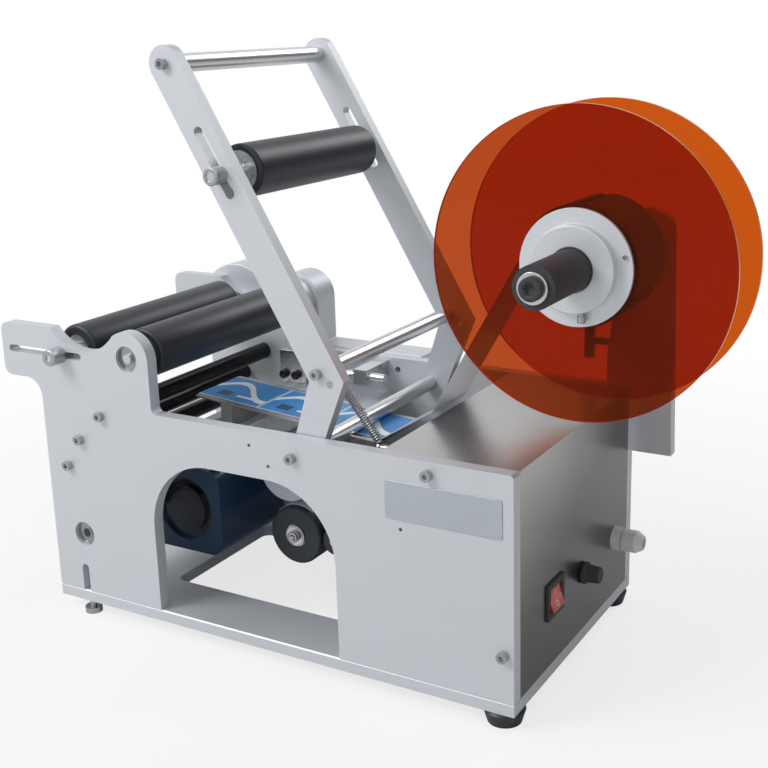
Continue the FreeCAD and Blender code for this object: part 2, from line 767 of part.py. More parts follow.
def swing_arm(name, y):
    """One bent arm with a round foot and top, pivot bore and inclined roller slot."""
    body = new_body(name)
    outline = new_sketch(body, f"{name}_outline")
    draw_outline(outline, arm_outline())
    pad(body, outline, "arm_thick")
    foot = new_sketch(body, f"{name}_foot")
    draw_circle(foot, "pivot_middle", "pivot_height - arm_foot_drop", "arm_foot_radius")
    pad(body, foot, "arm_thick")
    top = new_sketch(body, f"{name}_top")
    draw_circle(top, HANDLE_X, HANDLE_Z, "arm_width / 2")
    pad(body, top, "arm_thick")
    half = "(shaft_radius + running_gap)"
    ends = [(f"({BEND_X} - {along} * sin(arm_lean))", f"({BEND_Z} + {along} * cos(arm_lean))")
            for along in ("press_slot_low", "press_slot_high")]
    slot = new_sketch(body, f"{name}_slot")
    draw_outline(slot, [
        (f"{ends[0][0]} + {half} * cos(arm_lean)", f"{ends[0][1]} + {half} * sin(arm_lean)"),
        (f"{ends[1][0]} + {half} * cos(arm_lean)", f"{ends[1][1]} + {half} * sin(arm_lean)"),
        (f"{ends[1][0]} - {half} * cos(arm_lean)", f"{ends[1][1]} - {half} * sin(arm_lean)"),
        (f"{ends[0][0]} - {half} * cos(arm_lean)", f"{ends[0][1]} - {half} * sin(arm_lean)"),
    ])
    pocket(body, slot)
    bores = [
        (*ends[0], half),
        (*ends[1], half),
        ("pivot_middle", "pivot_height", "rod_radius + running_gap"),
        (HANDLE_X, HANDLE_Z, "screw_thread + running_gap"),
        (CROSS_X, CROSS_Z, "screw_thread + running_gap"),
        (POST_X, POST_Z, "post_radius + running_gap"),
    ]
    for index, (x, z, radius) in enumerate(bores, start=1):
        hole = new_sketch(body, f"{name}_bore{index}")
        draw_circle(hole, x, z, radius)
        pocket(body, hole)
    sub_part(place(body, "0", y, "0"))


def cross_bar(name, radius, x, z):
    """Plain bar between the arms, tapped at both ends."""
    start = f"({NEAR_ARM_Y} + arm_thick)"
    length = f"({FAR_ARM_Y} - {start})"
    bar = rod(f"{name}_bar", radius, length, x, start, z)
    taps = []
    for side, y in (("near", start), ("far", f"{FAR_ARM_Y} - screw_length")):
        taps.append(rod(f"{name}_{side}_tap", "screw_thread + running_gap", "screw_length", x, y, z))
    sub_part(cut(name, bar, *taps))


def swing_frame():
    """Two arms joined by the handle bar and a cross rod, turning on the pivot rod."""
    swing_arm("near_swing_arm", NEAR_ARM_Y)
    swing_arm("far_swing_arm", FAR_ARM_Y)
    cross_bar("handle_bar", "handle_radius", HANDLE_X, HANDLE_Z)
    cross_bar("cross_rod", "rod_radius", CROSS_X, CROSS_Z)
    screws = []
    for key, x, z in (("handle", HANDLE_X, HANDLE_Z), ("cross", CROSS_X, CROSS_Z)):
        near_y = NEAR_ARM_Y
        far_y = f"({FAR_ARM_Y} + arm_thick)"
        screws.append(cap_screw(f"near_arm_screw_{key}", x, near_y, z, "-y"))
        screws.append(cap_screw(f"far_arm_screw_{key}", x, far_y, z, "+y"))
    screws.append(turned("spring_post",
                         [("0", "0"), ("0", "post_radius"), ("arm_thick + post_reach - 2", "post_radius"),
                          ("arm_thick + post_reach - 2", "post_radius + 1.5"),
                          ("arm_thick + post_reach", "post_radius + 1.5"),
                          ("arm_thick + post_reach", "0")],
                         POST_X, NEAR_ARM_Y, POST_Z))
    sub_part(group("arm_fasteners", *screws))
    pivot = rod("pivot_rod_bar", "rod_radius", "plate_gap", "pivot_middle", "plate_thick", "pivot_height")
    taps = []
    for side, y in (("near", "plate_thick"), ("far", f"{FAR_INNER} - screw_length")):
        taps.append(rod(f"pivot_rod_{side}_tap", "screw_thread + running_gap", "screw_length",
                        "pivot_middle", y, "pivot_height"))
    sub_part(cut("pivot_rod", pivot, *taps))


def pressing_roller():
    """Roller that presses the bottle down, on a shaft held in the arm slots."""
    gap = f"({FAR_ARM_Y} - {NEAR_ARM_Y} - arm_thick)"
    start = f"({NEAR_ARM_Y} + arm_thick + ({gap} - press_length) / 2)"
    hollow_roller("pressing_roller", "press_radius", "press_length", PRESS_X, start, PRESS_Z)
    near_end = f"({NEAR_ARM_Y} - press_knob_length + 1)"
    far_end = f"({FAR_ARM_Y} + arm_thick + press_knob_length - 1)"
    sub_part(turned("pressing_shaft",
                    [(near_end, "0"), (near_end, "shaft_radius"), (far_end, "shaft_radius"), (far_end, "0")],
                    PRESS_X, "0", PRESS_Z))
    bore = "shaft_radius + running_gap"
    sub_part(turned("near_press_nut",
                    [("0", bore), ("0", "press_knob_radius - 1"), ("1", "press_knob_radius"),
                     ("press_knob_length", "press_knob_radius"), ("press_knob_length", bore)],
                    PRESS_X, f"{NEAR_ARM_Y} - press_knob_length", PRESS_Z))
    thumb_nut("far_press_nut", "press_knob_radius", "press_knob_length",
              PRESS_X, f"{FAR_ARM_Y} + arm_thick", PRESS_Z, bore)


def return_spring():
    """Extension spring from the post on the near arm to a pin on the control box."""
    top = Vector(number(POST_X), number(SPRING_Y), number(POST_Z))
    low = Vector(number("box_start - anchor_reach + 4"), number(SPRING_Y), number("anchor_height"))
    clear = number("post_radius + 2 * free_gap + 2 * spring_wire")
    axis = low - top
    length = axis.Length - 2 * clear
    turns = int(number("spring_turns"))
    pitch = length / turns
    mean = number("spring_radius - spring_wire")
    wire = Part.makeHelix(pitch, length, mean)
    section = Part.Wire([Part.makeCircle(number("spring_wire"), Vector(mean, 0, 0), Vector(0, 1, 0))])
    coil = Part.Wire(wire.Edges).makePipeShell([section], True, True)
    feature = doc.addObject("Part::Feature", "return_spring")
    coil.Placement = FreeCAD.Placement(top + axis.normalize() * clear, Rotation(Vector(0, 0, 1), low - top))
    feature.Shape = coil
    spot = coil.Placement.Base
    feature.Placement = coil.Placement
    PLACES[feature.Name] = (str(spot.x), str(spot.y), str(spot.z))
    sub_part(feature)


# ---------------------------------------------------------------- label table
def slope_height(x):
    """Height of the upper face of the peel plate at a place along x."""
    return f"(peel_height - peel_drop * ({x} - peel_start) / (peel_finish - peel_start))"


def label_table():
    """Cross plate on ribs, with windows, and the thin sloping peel plate over it."""
    plate = block("table_blank", ("table_length", "plate_gap", "table_thick"),
                  ("table_start", "plate_thick", "table_height - table_thick"))
    inset = "table_window_inset"
    second = "table_start + 3 * table_window_inset"
    windows = [
        block("table_window_left", (inset, "web_width", "table_thick"),
              (f"table_start + {inset}", "web_side - web_width / 3", "table_height - table_thick")),
        block("table_window_right", (f"table_length - 4 * {inset}", "web_width + 22", "table_thick"),
              (second, "web_side - 11", "table_height - table_thick")),
    ]
    sub_part(cut("label_table", plate, *windows))

    peel = new_body("peel_plate")
    section = new_sketch(peel, "peel_section")
    lower_start = f"({slope_height('peel_start')} - peel_thick)"
    lower_end = f"({slope_height('peel_finish')} - peel_thick)"
    rib_at = "(table_start + 2 * table_window_inset)"
    rib_end = f"({rib_at} + rib_width)"
    draw_outline(section, [
        ("peel_start", lower_start), (rib_at, f"{slope_height(rib_at)} - peel_thick"),
        (rib_at, "table_height"), (rib_end, "table_height"),
        (rib_end, f"{slope_height(rib_end)} - peel_thick"), ("peel_finish", lower_end),
        ("peel_finish", slope_height("peel_finish")), ("peel_start", slope_height("peel_start")),
    ])
    pad(peel, section, "web_width + 8")
    sub_part(place(peel, "0", "web_side - 4", "0"))

    web = new_body("label_web")
    run = new_sketch(web, "web_section")
    lift = "0.3"
    crease_z = f"({slope_height('web_crease')} + {lift})"
    edge_x = "(box_start - 2)"
    edge_z = "(plate_top + 4)"
    hub_x = "(reel_middle - core_radius - 2)"
    hub_z = "reel_height"
    peel_z = f"({slope_height('peel_start')} + {lift})"
    draw_outline(run, [
        ("peel_start", peel_z), ("web_crease", crease_z), (edge_x, edge_z), (hub_x, hub_z),
        (f"{hub_x} - web_thick", hub_z), (f"{edge_x} - web_thick", f"{edge_z} + web_thick"),
        (f"web_crease - web_thick", f"{crease_z} + web_thick"), ("peel_start", f"{peel_z} + web_thick"),
    ])
    pad(web, run, "web_width")
    sub_part(place(web, "0", "web_side", "0"))


def label_sensor():
    """Gap sensor: a block that slides on a rod, held by a bracket on the far plate."""
    rod_z = "(table_height + 24)"
    rod_y = f"({FAR_INNER} - 34)"
    foot = block("sensor_foot", ("14", "34 + rod_radius", "14"),
                 ("196", f"{rod_y} - rod_radius", f"{rod_z} - 7"))
    hole = rod("sensor_foot_bore", "4", "14", "196", rod_y, rod_z, "x")
    sub_part(group("sensor_mount", cut("sensor_bracket", foot, hole),
                   rod("sensor_rod", "4", "76", "150", rod_y, rod_z, "x")))
    body = block("sensor_blank", ("24", "30", "16"), ("158", f"{rod_y} - 22", f"{rod_z} - 8"))
    bore = rod("sensor_bore", "4 + running_gap", "24", "158", rod_y, rod_z, "x")
    sub_part(cut("label_sensor", body, bore))


# ---------------------------------------------------------------- control box
def control_box():
    """Bent cover, dark front wall, and the controls in the end panel."""
    width = "plate_gap"
    top = block("cover_top", ("base_length - box_start", width, "sheet_thick"),
                ("box_start", "plate_thick", "plate_top - sheet_thick"))
    end = block("cover_end", ("sheet_thick", width, "plate_top - base_thick"),
                ("base_length - sheet_thick", "plate_thick", "base_thick"))
    blank = fuse("cover_blank", top, end)
    reach = "sheet_thick"
    x = "base_length - sheet_thick"
    holes = [
        block("rocker_hole", (reach, "rocker_width - 2 * rocker_rim", "rocker_tall - 2 * rocker_rim"),
              (x, "rocker_middle - rocker_width / 2 + rocker_rim",
               "rocker_height - rocker_tall / 2 + rocker_rim")),
        rod("knob_hole", "shaft_radius", reach, x, "knob_middle", "knob_height", "x"),
        rod("gland_hole", "gland_radius - 3", reach, x, "gland_middle", "gland_height", "x"),
    ]
    sub_part(cut("control_box_cover", blank, *holes))
    sub_part(block("control_box_front", ("sheet_thick", width, "plate_top - sheet_thick - base_thick"),
                   ("box_start", "plate_thick", "base_thick")))
    rocker_switch()
    speed_knob()
    cable_gland()


def rocker_switch():
    """Switch housing with a rim on the panel, and the tilting rocker in it."""
    y = "rocker_middle - rocker_width / 2"
    z = "rocker_height - rocker_tall / 2"
    rim = block("switch_rim", ("rocker_lip", "rocker_width", "rocker_tall"), ("base_length", y, z))
    inner = ("rocker_width - 2 * rocker_rim", "rocker_tall - 2 * rocker_rim")
    shell = block("switch_shell", ("rocker_depth", *inner),
                  ("base_length - rocker_depth", f"{y} + rocker_rim", f"{z} + rocker_rim"))
    mouth = block("switch_mouth", ("12 + rocker_lip", f"{inner[0]} - 3", f"{inner[1]} - 3"),
                  ("base_length - 12", f"{y} + rocker_rim + 1.5", f"{z} + rocker_rim + 1.5"))
    sub_part(cut("switch_housing", fuse("switch_solid", rim, shell), mouth))
    rocker = new_body("switch_rocker")
    section = new_sketch(rocker, "rocker_section")
    half = "((rocker_tall - 2 * rocker_rim - 3) / 2 - 1.2)"
    draw_outline(section, [
        ("-8", "-3"), ("-8", "3"), ("-2", half), ("0.5", half), ("1.2", "0"), ("4.5", f"-{half}"),
        ("-2", f"-{half}"),
    ])
    length = "(rocker_width - 2 * rocker_rim - 3 - 0.8)"
    pad(rocker, section, length)
    sub_part(place(rocker, "base_length", f"rocker_middle - {length} / 2", "rocker_height"))


def speed_knob():
    """Tapered knob on a skirt, and the potentiometer behind the panel."""
    sub_part(turned("speed_knob",
                    [("0.5", "shaft_radius"), ("0.5", "knob_skirt"), ("2", "knob_skirt"), ("2.5", "knob_radius"),
                     ("knob_length", "knob_radius - 1"), ("knob_length + 1", "knob_radius - 2"),
                     ("knob_length + 1", "0"), ("knob_length - 4", "0"), ("knob_length - 4", "shaft_radius")],
                    "base_length", "knob_middle", "knob_height", "x"))
    pot = turned("speed_potentiometer",
                    [("-14", "0"), ("-14", "8.5"), ("-sheet_thick - 4", "8.5"),
                     ("-sheet_thick - 4", "shaft_radius - running_gap"),
                     ("knob_length - 5", "shaft_radius - running_gap"), ("knob_length - 5", "0")],
                    "base_length", "knob_middle", "knob_height", "x")
    board = block("speed_controller", ("60", "90", "40"),
                  ("box_start + 20", "plate_thick + 20", "base_thick"))
    can = rod("motor_capacitor", "15", "50", "box_start + 40", "plate_thick + 150", "base_thick + 15")
    sub_part(group("box_electrics", pot, board, can))


def cable_gland():
    """Gland body screwed through the panel, with lock nut and domed clamp nut."""
    inner = "(gland_radius - 6)"
    body = turned("gland_body",
                    [("-10", inner), ("-10", "gland_radius - 3"), ("0", "gland_radius - 3"),
                     ("0", "gland_radius"), ("8", "gland_radius"), ("8", "gland_radius - 4"),
                     ("18", "gland_radius - 4"), ("18", inner)],
                    "base_length", "gland_middle", "gland_height", "x")
    nut = turned("gland_clamp_nut",
                    [("9", "gland_radius - 4 + running_gap"), ("9", "gland_radius - 0.5"),
                     ("gland_length - 6", "gland_radius - 0.5"), ("gland_length", "gland_radius - 4"),
                     ("gland_length", f"{inner}"), ("18", f"{inner}"),
                     ("18", "gland_radius - 4 + running_gap")],
                    "base_length", "gland_middle", "gland_height", "x")
    lock = tube("gland_lock_nut", "gland_radius + 1", "gland_radius - 3 + running_gap", "4",
                "base_length - sheet_thick - 4", "gland_middle", "gland_height", "x")
    sub_part(group("cable_gland", body, nut, lock))


# ---------------------------------------------------------------- label reel
def reel_bracket():
    """Upright plate outside the far side plate, rounded round the axle."""
    body = new_body("reel_bracket")
    outline = new_sketch(body, "bracket_outline")
    draw_outline(outline, [
        ("base_length - 24", "bracket_low"), ("reel_middle + bracket_half + 4", "bracket_low"),
        ("reel_middle + bracket_half", "reel_height"), ("reel_middle - bracket_half", "reel_height"),
        ("base_length - 24", "plate_top + 22"),
    ])
    pad(body, outline, "bracket_thick")
    head = new_sketch(body, "bracket_head")
    draw_circle(head, "reel_middle", "reel_height", "bracket_half")
    pad(body, head, "bracket_thick")
    for index, (x, z, radius) in enumerate([
            ("reel_middle", "reel_height", "axle_radius"),
            ("base_length - 12", "bracket_low + 14", "screw_thread + running_gap"),
            ("base_length - 12", "plate_top - 14", "screw_thread + running_gap")], start=1):
        hole = new_sketch(body, f"bracket_hole{index}")
        draw_circle(hole, x, z, radius)
        pocket(body, hole)
    tap = new_sketch(body, "bracket_tap", "YZ_Plane")
    draw_circle(tap, "bracket_thick / 2", "clamp_height", "post_radius + running_gap")
    pocket(body, tap)
    sub_part(place(body, "0", BRACKET_Y, "0"))
    clamp_y = f"{BRACKET_Y} + bracket_thick / 2"
    stem = rod("clamp_stem", "post_radius", "clamp_length", "base_length - 38", clamp_y, "clamp_height", "x")
    bar = rod("clamp_bar", "post_radius + 1.5", "clamp_width", "base_length - 42", clamp_y,
              "clamp_height - clamp_width / 2", "z")
    sub_part(fuse("clamp_screw", stem, bar))


def reel():
    """Fixed axle, turning sleeve and core with the rear disc, and the sliding front disc."""
    axle_end = "(sleeve_start + 2)"
    length = f"({BRACKET_Y} + bracket_thick - {axle_end})"
    bar = rod("axle_bar", "axle_radius", length, "reel_middle", axle_end, "reel_height")
    cap = turned("axle_end_cap",
                    [("-4", "0"), ("-4", "4"), ("-2", "4"), ("-2", "axle_radius + 3"), ("0", "axle_radius + 3"),
                     ("0", "0")],
                    "reel_middle", axle_end, "reel_height")
    sub_part(group("reel_axle", bar, cap))
    sleeve_end = f"({REAR_DISC_Y} + disc_thick + flange_thick + boss_length)"
    sleeve = tube("turning_sleeve", "sleeve_radius", "axle_radius + running_gap",
                  f"{sleeve_end} - sleeve_start - 2.3", "reel_middle", "sleeve_start + 2.3", "reel_height")
    core_hub()
    sub_part(tube("rear_disc", "disc_radius", "sleeve_radius", "disc_thick",
                  "reel_middle", REAR_DISC_Y, "reel_height"))
    rear_y = f"{REAR_DISC_Y} + disc_thick"
    flange = turned("rear_flange",
                    [("0", "sleeve_radius"), ("0", "flange_radius"), ("flange_thick", "flange_radius"),
                     ("flange_thick", "boss_radius"), ("flange_thick + boss_length", "boss_radius"),
                     ("flange_thick + boss_length", "sleeve_radius")],
                    "reel_middle", rear_y, "reel_height")
    sub_part(group("reel_sleeve", sleeve, flange))
    slide = "sleeve_radius + running_gap"
    sub_part(tube("front_disc", "disc_radius", slide, "disc_thick",
                  "reel_middle", "front_disc_side", "reel_height"))
    front = turned("front_hub",
                   [("0", slide), ("0", "boss_radius"), ("boss_length", "boss_radius"),
                    ("boss_length", "flange_radius"), ("boss_length + flange_thick", "flange_radius"),
                    ("boss_length + flange_thick", slide)],
                   "reel_middle", "front_disc_side - flange_thick - boss_length", "reel_height")
    set_screw = rod("flange_set_screw", "2", "10", "reel_middle",
                    "front_disc_side - flange_thick - boss_length / 2", "reel_height - boss_radius - 10", "z")
    sub_part(group("front_flange", front, set_screw))


def core_hub():
    """Expanding core: a tube between the discs, slit along its length."""
    gap = "free_gap"
    tube_part = tube("core_tube", "core_radius", "sleeve_radius", f"disc_space - 2 * {gap}",
                     "reel_middle", f"front_disc_side + disc_thick + {gap}", "reel_height")
    slits = []
    for index in range(int(SIZES["core_segments"])):
        slit = block(f"core_slit_{index + 1}", ("core_radius", "disc_space", "core_slit"),
                     ("reel_middle + sleeve_radius + 6", "front_disc_side + disc_thick",
                      "reel_height - core_slit / 2"))
        slits.append(slit)
    turned_slits = []
    for index, slit in enumerate(slits):
        angle = 90 + 360 * index / len(slits)
        turn = Rotation(Vector(0, 1, 0), -angle)
        spot = turn.multVec(Vector(number("sleeve_radius + 6"), 0, number("-core_slit / 2")))
        lengths = (f"reel_middle + (sleeve_radius + 6) * cos({angle}) + core_slit / 2 * sin({angle})",
                   "front_disc_side + disc_thick",
                   f"reel_height + (sleeve_radius + 6) * sin({angle}) - core_slit / 2 * cos({angle})")
        turned_slits.append(place(slit, *lengths, turn))
        assert abs(number(lengths[0]) - number("reel_middle") - spot.x) < 1e-6
    sub_part(cut("core_hub", tube_part, *turned_slits))


# ---------------------------------------------------------------- drive train
def motor():
    """Square gear motor carried by the far plate."""
    square = "motor_square"
    motor_y = f"({FAR_INNER} - gearbox_length - motor_length)"
    for name, y, length in (("motor_body", motor_y, "motor_length"),
                            ("motor_gearbox", f"({FAR_INNER} - gearbox_length)", "gearbox_length")):
        body = new_body(name)
        outline = new_sketch(body, f"{name}_outline")
        draw_box(outline, f"-{square} / 2", f"-{square} / 2", f"{square} / 2", f"{square} / 2")
        pad(body, outline, length)
        round_edges(body, f"{name}_corners",
                    lambda p: near(abs(p.x), f"{square} / 2") and near(abs(p.z), f"{square} / 2"),
                    "motor_corner")
        if name == "motor_body":
            ring = new_sketch(body, "motor_recess")
            draw_circle(ring, "0", "0", "30")
            draw_circle(ring, "0", "0", "22")
            groove = body.newObject("PartDesign::Pocket", "motor_recess_pocket")
            groove.Profile = ring
            groove.Length = 4
            doc.recompute()
        sub_part(place(body, "motor_middle", y, "motor_height"))
    tip = f"({OUTER_PULLEY_Y} + pulley_width - {FAR_INNER})"
    sub_part(group("motor_output",
                   rod("motor_shaft", "shaft_radius", tip, "motor_middle", FAR_INNER, "motor_height"),
                   pulley("motor_inner_pulley", "pulley_radius", "motor_middle", PULLEY_Y, "motor_height"),
                   pulley("motor_outer_pulley", "pulley_radius", "motor_middle", OUTER_PULLEY_Y,
                          "motor_height")))


def pulley(name, radius, x, y, z):
    """Flanged pulley with a shaft bore."""
    return turned(name,
                  [("0", "shaft_radius"), ("0", f"{radius} + 2"), ("1", f"{radius} + 2"), ("1", radius),
                   ("pulley_width - 1", radius), ("pulley_width - 1", f"{radius} + 2"),
                   ("pulley_width", f"{radius} + 2"), ("pulley_width", "shaft_radius")],
                  x, y, z)


def loop_face(first, second, grow):
    """Flat outline round two pulleys: two arcs and their common tangents."""
    (ax, az, ar), (bx, bz, br) = first, second
    ar, br = ar + grow, br + grow
    line = Vector(bx - ax, 0, bz - az)
    tilt = math.asin((ar - br) / line.Length)
    heading = math.atan2(line.z, line.x)
    spots = []
    for sign in (1, -1):
        angle = heading + sign * (math.pi / 2 - tilt)
        spots.append((Vector(ax + ar * math.cos(angle), 0, az + ar * math.sin(angle)),
                      Vector(bx + br * math.cos(angle), 0, bz + br * math.sin(angle))))
    back = Vector(ax - ar * math.cos(heading), 0, az - ar * math.sin(heading))
    front = Vector(bx + br * math.cos(heading), 0, bz + br * math.sin(heading))
    edges = [
        Part.LineSegment(spots[0][0], spots[0][1]).toShape(),
        Part.Arc(spots[0][1], front, spots[1][1]).toShape(),
        Part.LineSegment(spots[1][1], spots[1][0]).toShape(),
        Part.Arc(spots[1][0], back, spots[0][0]).toShape(),
    ]
    return Part.Face(Part.Wire(edges))


def belt(name, first, second, y):
    """Flat belt as a closed loop round two pulleys."""
    ends = [tuple(number(value) for value in end) for end in (first, second)]
    gap = number("free_gap")
    outer = loop_face(*ends, gap + number("belt_thick"))
    inner = loop_face(*ends, gap)
    width = number("pulley_width - 2 - 2 * free_gap")
    loop = outer.extrude(Vector(0, width, 0)).cut(inner.extrude(Vector(0, width, 0)))
    feature = doc.addObject("Part::Feature", name)
    feature.Shape = loop
    return place(feature, "0", f"{y} + 1 + free_gap", "0")


def drive_belts():
    """Belts from the motor to both rollers, and from the traction roller to the take-up."""
    motor_end = ("motor_middle", "motor_height", "pulley_radius")
    traction_end = ("traction_middle", "traction_height", "pulley_radius")
    sub_part(group("drive_belts",
                   belt("roller_belt", motor_end, ("driven_middle", "driven_height", "pulley_radius"),
                        PULLEY_Y),
                   belt("traction_belt", motor_end,
                        ("traction_middle", "traction_height", TRACTION_PULLEY), OUTER_PULLEY_Y),
                   belt("takeup_belt", traction_end, ("takeup_middle", "takeup_height", "pulley_radius"),
                        PULLEY_Y)))


def traction_rollers():
    """Rubber traction roller, its pinch roller on a lever, and the liner take-up spool."""
    length = f"({FAR_INNER} - 12 - traction_start)"
    core = turned("traction_shaft",
                    [("-3", "0"), ("-3", "shaft_radius"), ("-2", "shaft_radius"), ("-2", "8"), ("0", "8"),
                     ("0", "traction_radius - rubber_thick"), (length, "traction_radius - rubber_thick"),
                     (length, "shaft_radius"), (f"{OUTER_PULLEY_Y} + pulley_width - traction_start", "shaft_radius"),
                     (f"{OUTER_PULLEY_Y} + pulley_width - traction_start", "0")],
                    "traction_middle", "traction_start", "traction_height")
    inner = pulley("traction_inner_pulley", "pulley_radius", "traction_middle", PULLEY_Y, "traction_height")
    outer = pulley("traction_outer_pulley", TRACTION_PULLEY, "traction_middle", OUTER_PULLEY_Y,
                   "traction_height")
    sub_part(group("traction_core", core, inner, outer))
    rubber_sleeve("traction_rubber", "traction_radius", length,
                  "traction_middle", "traction_start", "traction_height")
    spool = turned("takeup_drum",
                    [("0", "0"), ("0", "takeup_radius"), ("web_width + 2", "takeup_radius"),
                     ("web_width + 2", "shaft_radius"),
                     (f"{PULLEY_Y} + pulley_width - web_side + 1", "shaft_radius"),
                     (f"{PULLEY_Y} + pulley_width - web_side + 1", "0")],
                    "takeup_middle", "web_side - 1", "takeup_height")
    wheel = pulley("takeup_pulley", "pulley_radius", "takeup_middle", PULLEY_Y, "takeup_height")
    sub_part(group("takeup_spool", spool, wheel))
    lever_y = f"({FAR_INNER} - 9)"
    bar = block("pinch_lever_bar", ("26", "6", "14"), (PINCH_X, f"{lever_y} + 1", "traction_height - 12"))
    eye = rod("pinch_lever_eye", "8", "6", PINCH_X, f"{lever_y} + 1", "traction_height")
    boss = rod("pinch_lever_boss", "8", "6", f"{PINCH_X} + 26", f"{lever_y} + 1", "traction_height - 10")
    stub = rod("pinch_lever_stub", "shaft_radius", f"{lever_y} + 1 - web_side + 4",
               PINCH_X, "web_side - 4", "traction_height")
    bore = rod("pinch_lever_bore", "shaft_radius + running_gap", "6", f"{PINCH_X} + 26",
               f"{lever_y} + 1", "traction_height - 10")
    sub_part(cut("pinch_lever", fuse("pinch_lever_solid", bar, eye, boss, stub), bore))
    sub_part(tube("pinch_roller", "pinch_radius", "shaft_radius + running_gap",
                  "web_width + 8", PINCH_X, "web_side - 2", "traction_height"))


def belt_cover():
    """Sheet cover over the pulleys on the far plate's outer face."""
    body = new_body("belt_cover")
    low = new_sketch(body, "cover_low_outline")
    draw_box(low, "cover_start", "cover_low", "cover_start + cover_length", "cover_step")
    pad(body, low, "cover_depth")
    neck = new_sketch(body, "cover_neck_outline")
    draw_box(neck, "driven_middle - cover_lobe", "cover_low + 10", "driven_middle + cover_lobe",
             "driven_height")
    pad(body, neck, "cover_depth")
    lobe = new_sketch(body, "cover_lobe_outline")
    draw_circle(lobe, "driven_middle", "driven_height", "cover_lobe")
    pad(body, lobe, "cover_depth")
    round_edges(body, "cover_corners",
                lambda p: (near(p.x, "cover_start") or near(p.x, "cover_start + cover_length"))
                and (near(p.z, "cover_low") or near(p.z, "cover_step")), "12")
    shell = body.newObject("PartDesign::Thickness", "cover_shell")
    faces = [f"Face{index}" for index, face in enumerate(body.Shape.Faces, start=1)
             if near(face.CenterOfMass.y, "0") and abs(face.normalAt(0, 0).y) > 0.99]
    shell.Base = (body.Tip if body.Tip is not shell else body.Group[-2], faces)
    bind(shell, "Value", "sheet_thick")
    shell.Reversed = True
    doc.recompute()
    sub_part(place(body, "0", FAR_OUTER, "0"))


# ---------------------------------------------------------------- build
def build():
    """Make every sub-part."""
    fill_sheet()
    base_plate()
    side_plates()
    plate_screws()
    feet()
    tie_rods()
    plate_bearings()
    driven_roller()
    adjustable_roller()
    lower_roller()
    swing_frame()
    pressing_roller()
    return_spring()
    label_table()
    label_sensor()
    control_box()
    reel_bracket()
    reel()
    motor()
    drive_belts()
    traction_rollers()
    belt_cover()
    doc.recompute()


def check():
    """Stop if an object failed or a sub-part has no sound shape."""
    for obj in doc.Objects:
        if "Invalid" in obj.State or "Error" in obj.State:
            raise RuntimeError(f"{obj.Name} failed: {obj.State}")
    for obj in PARTS:
        if obj.Shape.isNull() or not obj.Shape.isValid() or not obj.Shape.Solids:
            raise RuntimeError(f"{obj.Label} has no sound shape")


def write():
    """Write each sub-part to its own STEP file."""
    os.makedirs("parts", exist_ok=True)
    whole = FreeCAD.BoundBox()
    for obj in PARTS:
        obj.Shape.exportStep(f"parts/{obj.Label}.step")
        whole.add(obj.Shape.BoundBox)
    print(len(PARTS), "sub-parts", whole)


build()
check()
write()
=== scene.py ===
"""Looks of a bench-top bottle labelling machine, laid over its packed construction.

Every construction piece gets a procedural finish by its material slot.  The classes below add
the pieces that only the looks need, and each of them but the spring rides on the body that carries it.
"""

import json
import logging
import math
from dataclasses import dataclass, replace
from enum import Enum
from typing import Optional, Sequence, Union

import bpy
from mathutils import Matrix, Vector


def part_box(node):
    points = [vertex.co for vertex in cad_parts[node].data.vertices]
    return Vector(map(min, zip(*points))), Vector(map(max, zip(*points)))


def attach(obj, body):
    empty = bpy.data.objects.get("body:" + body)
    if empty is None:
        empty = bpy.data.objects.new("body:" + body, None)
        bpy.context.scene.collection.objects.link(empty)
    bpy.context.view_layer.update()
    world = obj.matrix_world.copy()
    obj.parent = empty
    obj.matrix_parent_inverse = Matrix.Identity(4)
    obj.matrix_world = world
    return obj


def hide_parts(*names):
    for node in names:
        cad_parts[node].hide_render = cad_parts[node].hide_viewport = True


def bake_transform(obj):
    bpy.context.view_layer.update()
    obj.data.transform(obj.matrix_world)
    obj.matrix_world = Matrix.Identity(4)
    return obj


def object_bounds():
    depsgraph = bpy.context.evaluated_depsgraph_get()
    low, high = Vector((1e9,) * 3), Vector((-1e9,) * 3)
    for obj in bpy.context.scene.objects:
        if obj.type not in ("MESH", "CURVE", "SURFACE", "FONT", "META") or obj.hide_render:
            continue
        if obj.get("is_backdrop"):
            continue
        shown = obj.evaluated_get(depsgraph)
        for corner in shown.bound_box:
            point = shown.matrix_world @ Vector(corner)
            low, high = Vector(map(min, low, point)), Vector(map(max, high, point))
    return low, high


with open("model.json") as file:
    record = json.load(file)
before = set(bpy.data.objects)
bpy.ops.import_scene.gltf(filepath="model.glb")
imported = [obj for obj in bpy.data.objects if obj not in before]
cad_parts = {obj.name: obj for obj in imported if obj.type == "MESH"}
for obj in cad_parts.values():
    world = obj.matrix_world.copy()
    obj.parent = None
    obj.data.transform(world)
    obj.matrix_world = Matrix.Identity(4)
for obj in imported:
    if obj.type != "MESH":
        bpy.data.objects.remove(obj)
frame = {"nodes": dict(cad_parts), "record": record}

LOG = logging.getLogger("labelling_machine")

Number = Union[int, float]
Colour = tuple[float, float, float]
Point = tuple[float, float, float]

MM = 0.001
EDGE_ANGLE = math.radians(32)


class Slot(str, Enum):
    """Material slots of the record that pieces take their finish from."""

    ALUMINIUM = "sandblasted_aluminium"
    BRIGHT_STEEL = "bright_steel"
    SCREW_STEEL = "screw_steel"
    RUBBER = "black_rubber"
    TURNED = "turned_aluminium"
    STAINLESS = "brushed_stainless"
    DARK_SHEET = "dark_sheet"
    AMBER = "amber_acrylic"
    BLACK_PLASTIC = "black_plastic"
    RED_PLASTIC = "red_plastic"
    NYLON = "white_nylon"
    MOTOR_PAINT = "motor_paint"
    BELT = "belt_rubber"
    FILM = "label_film"


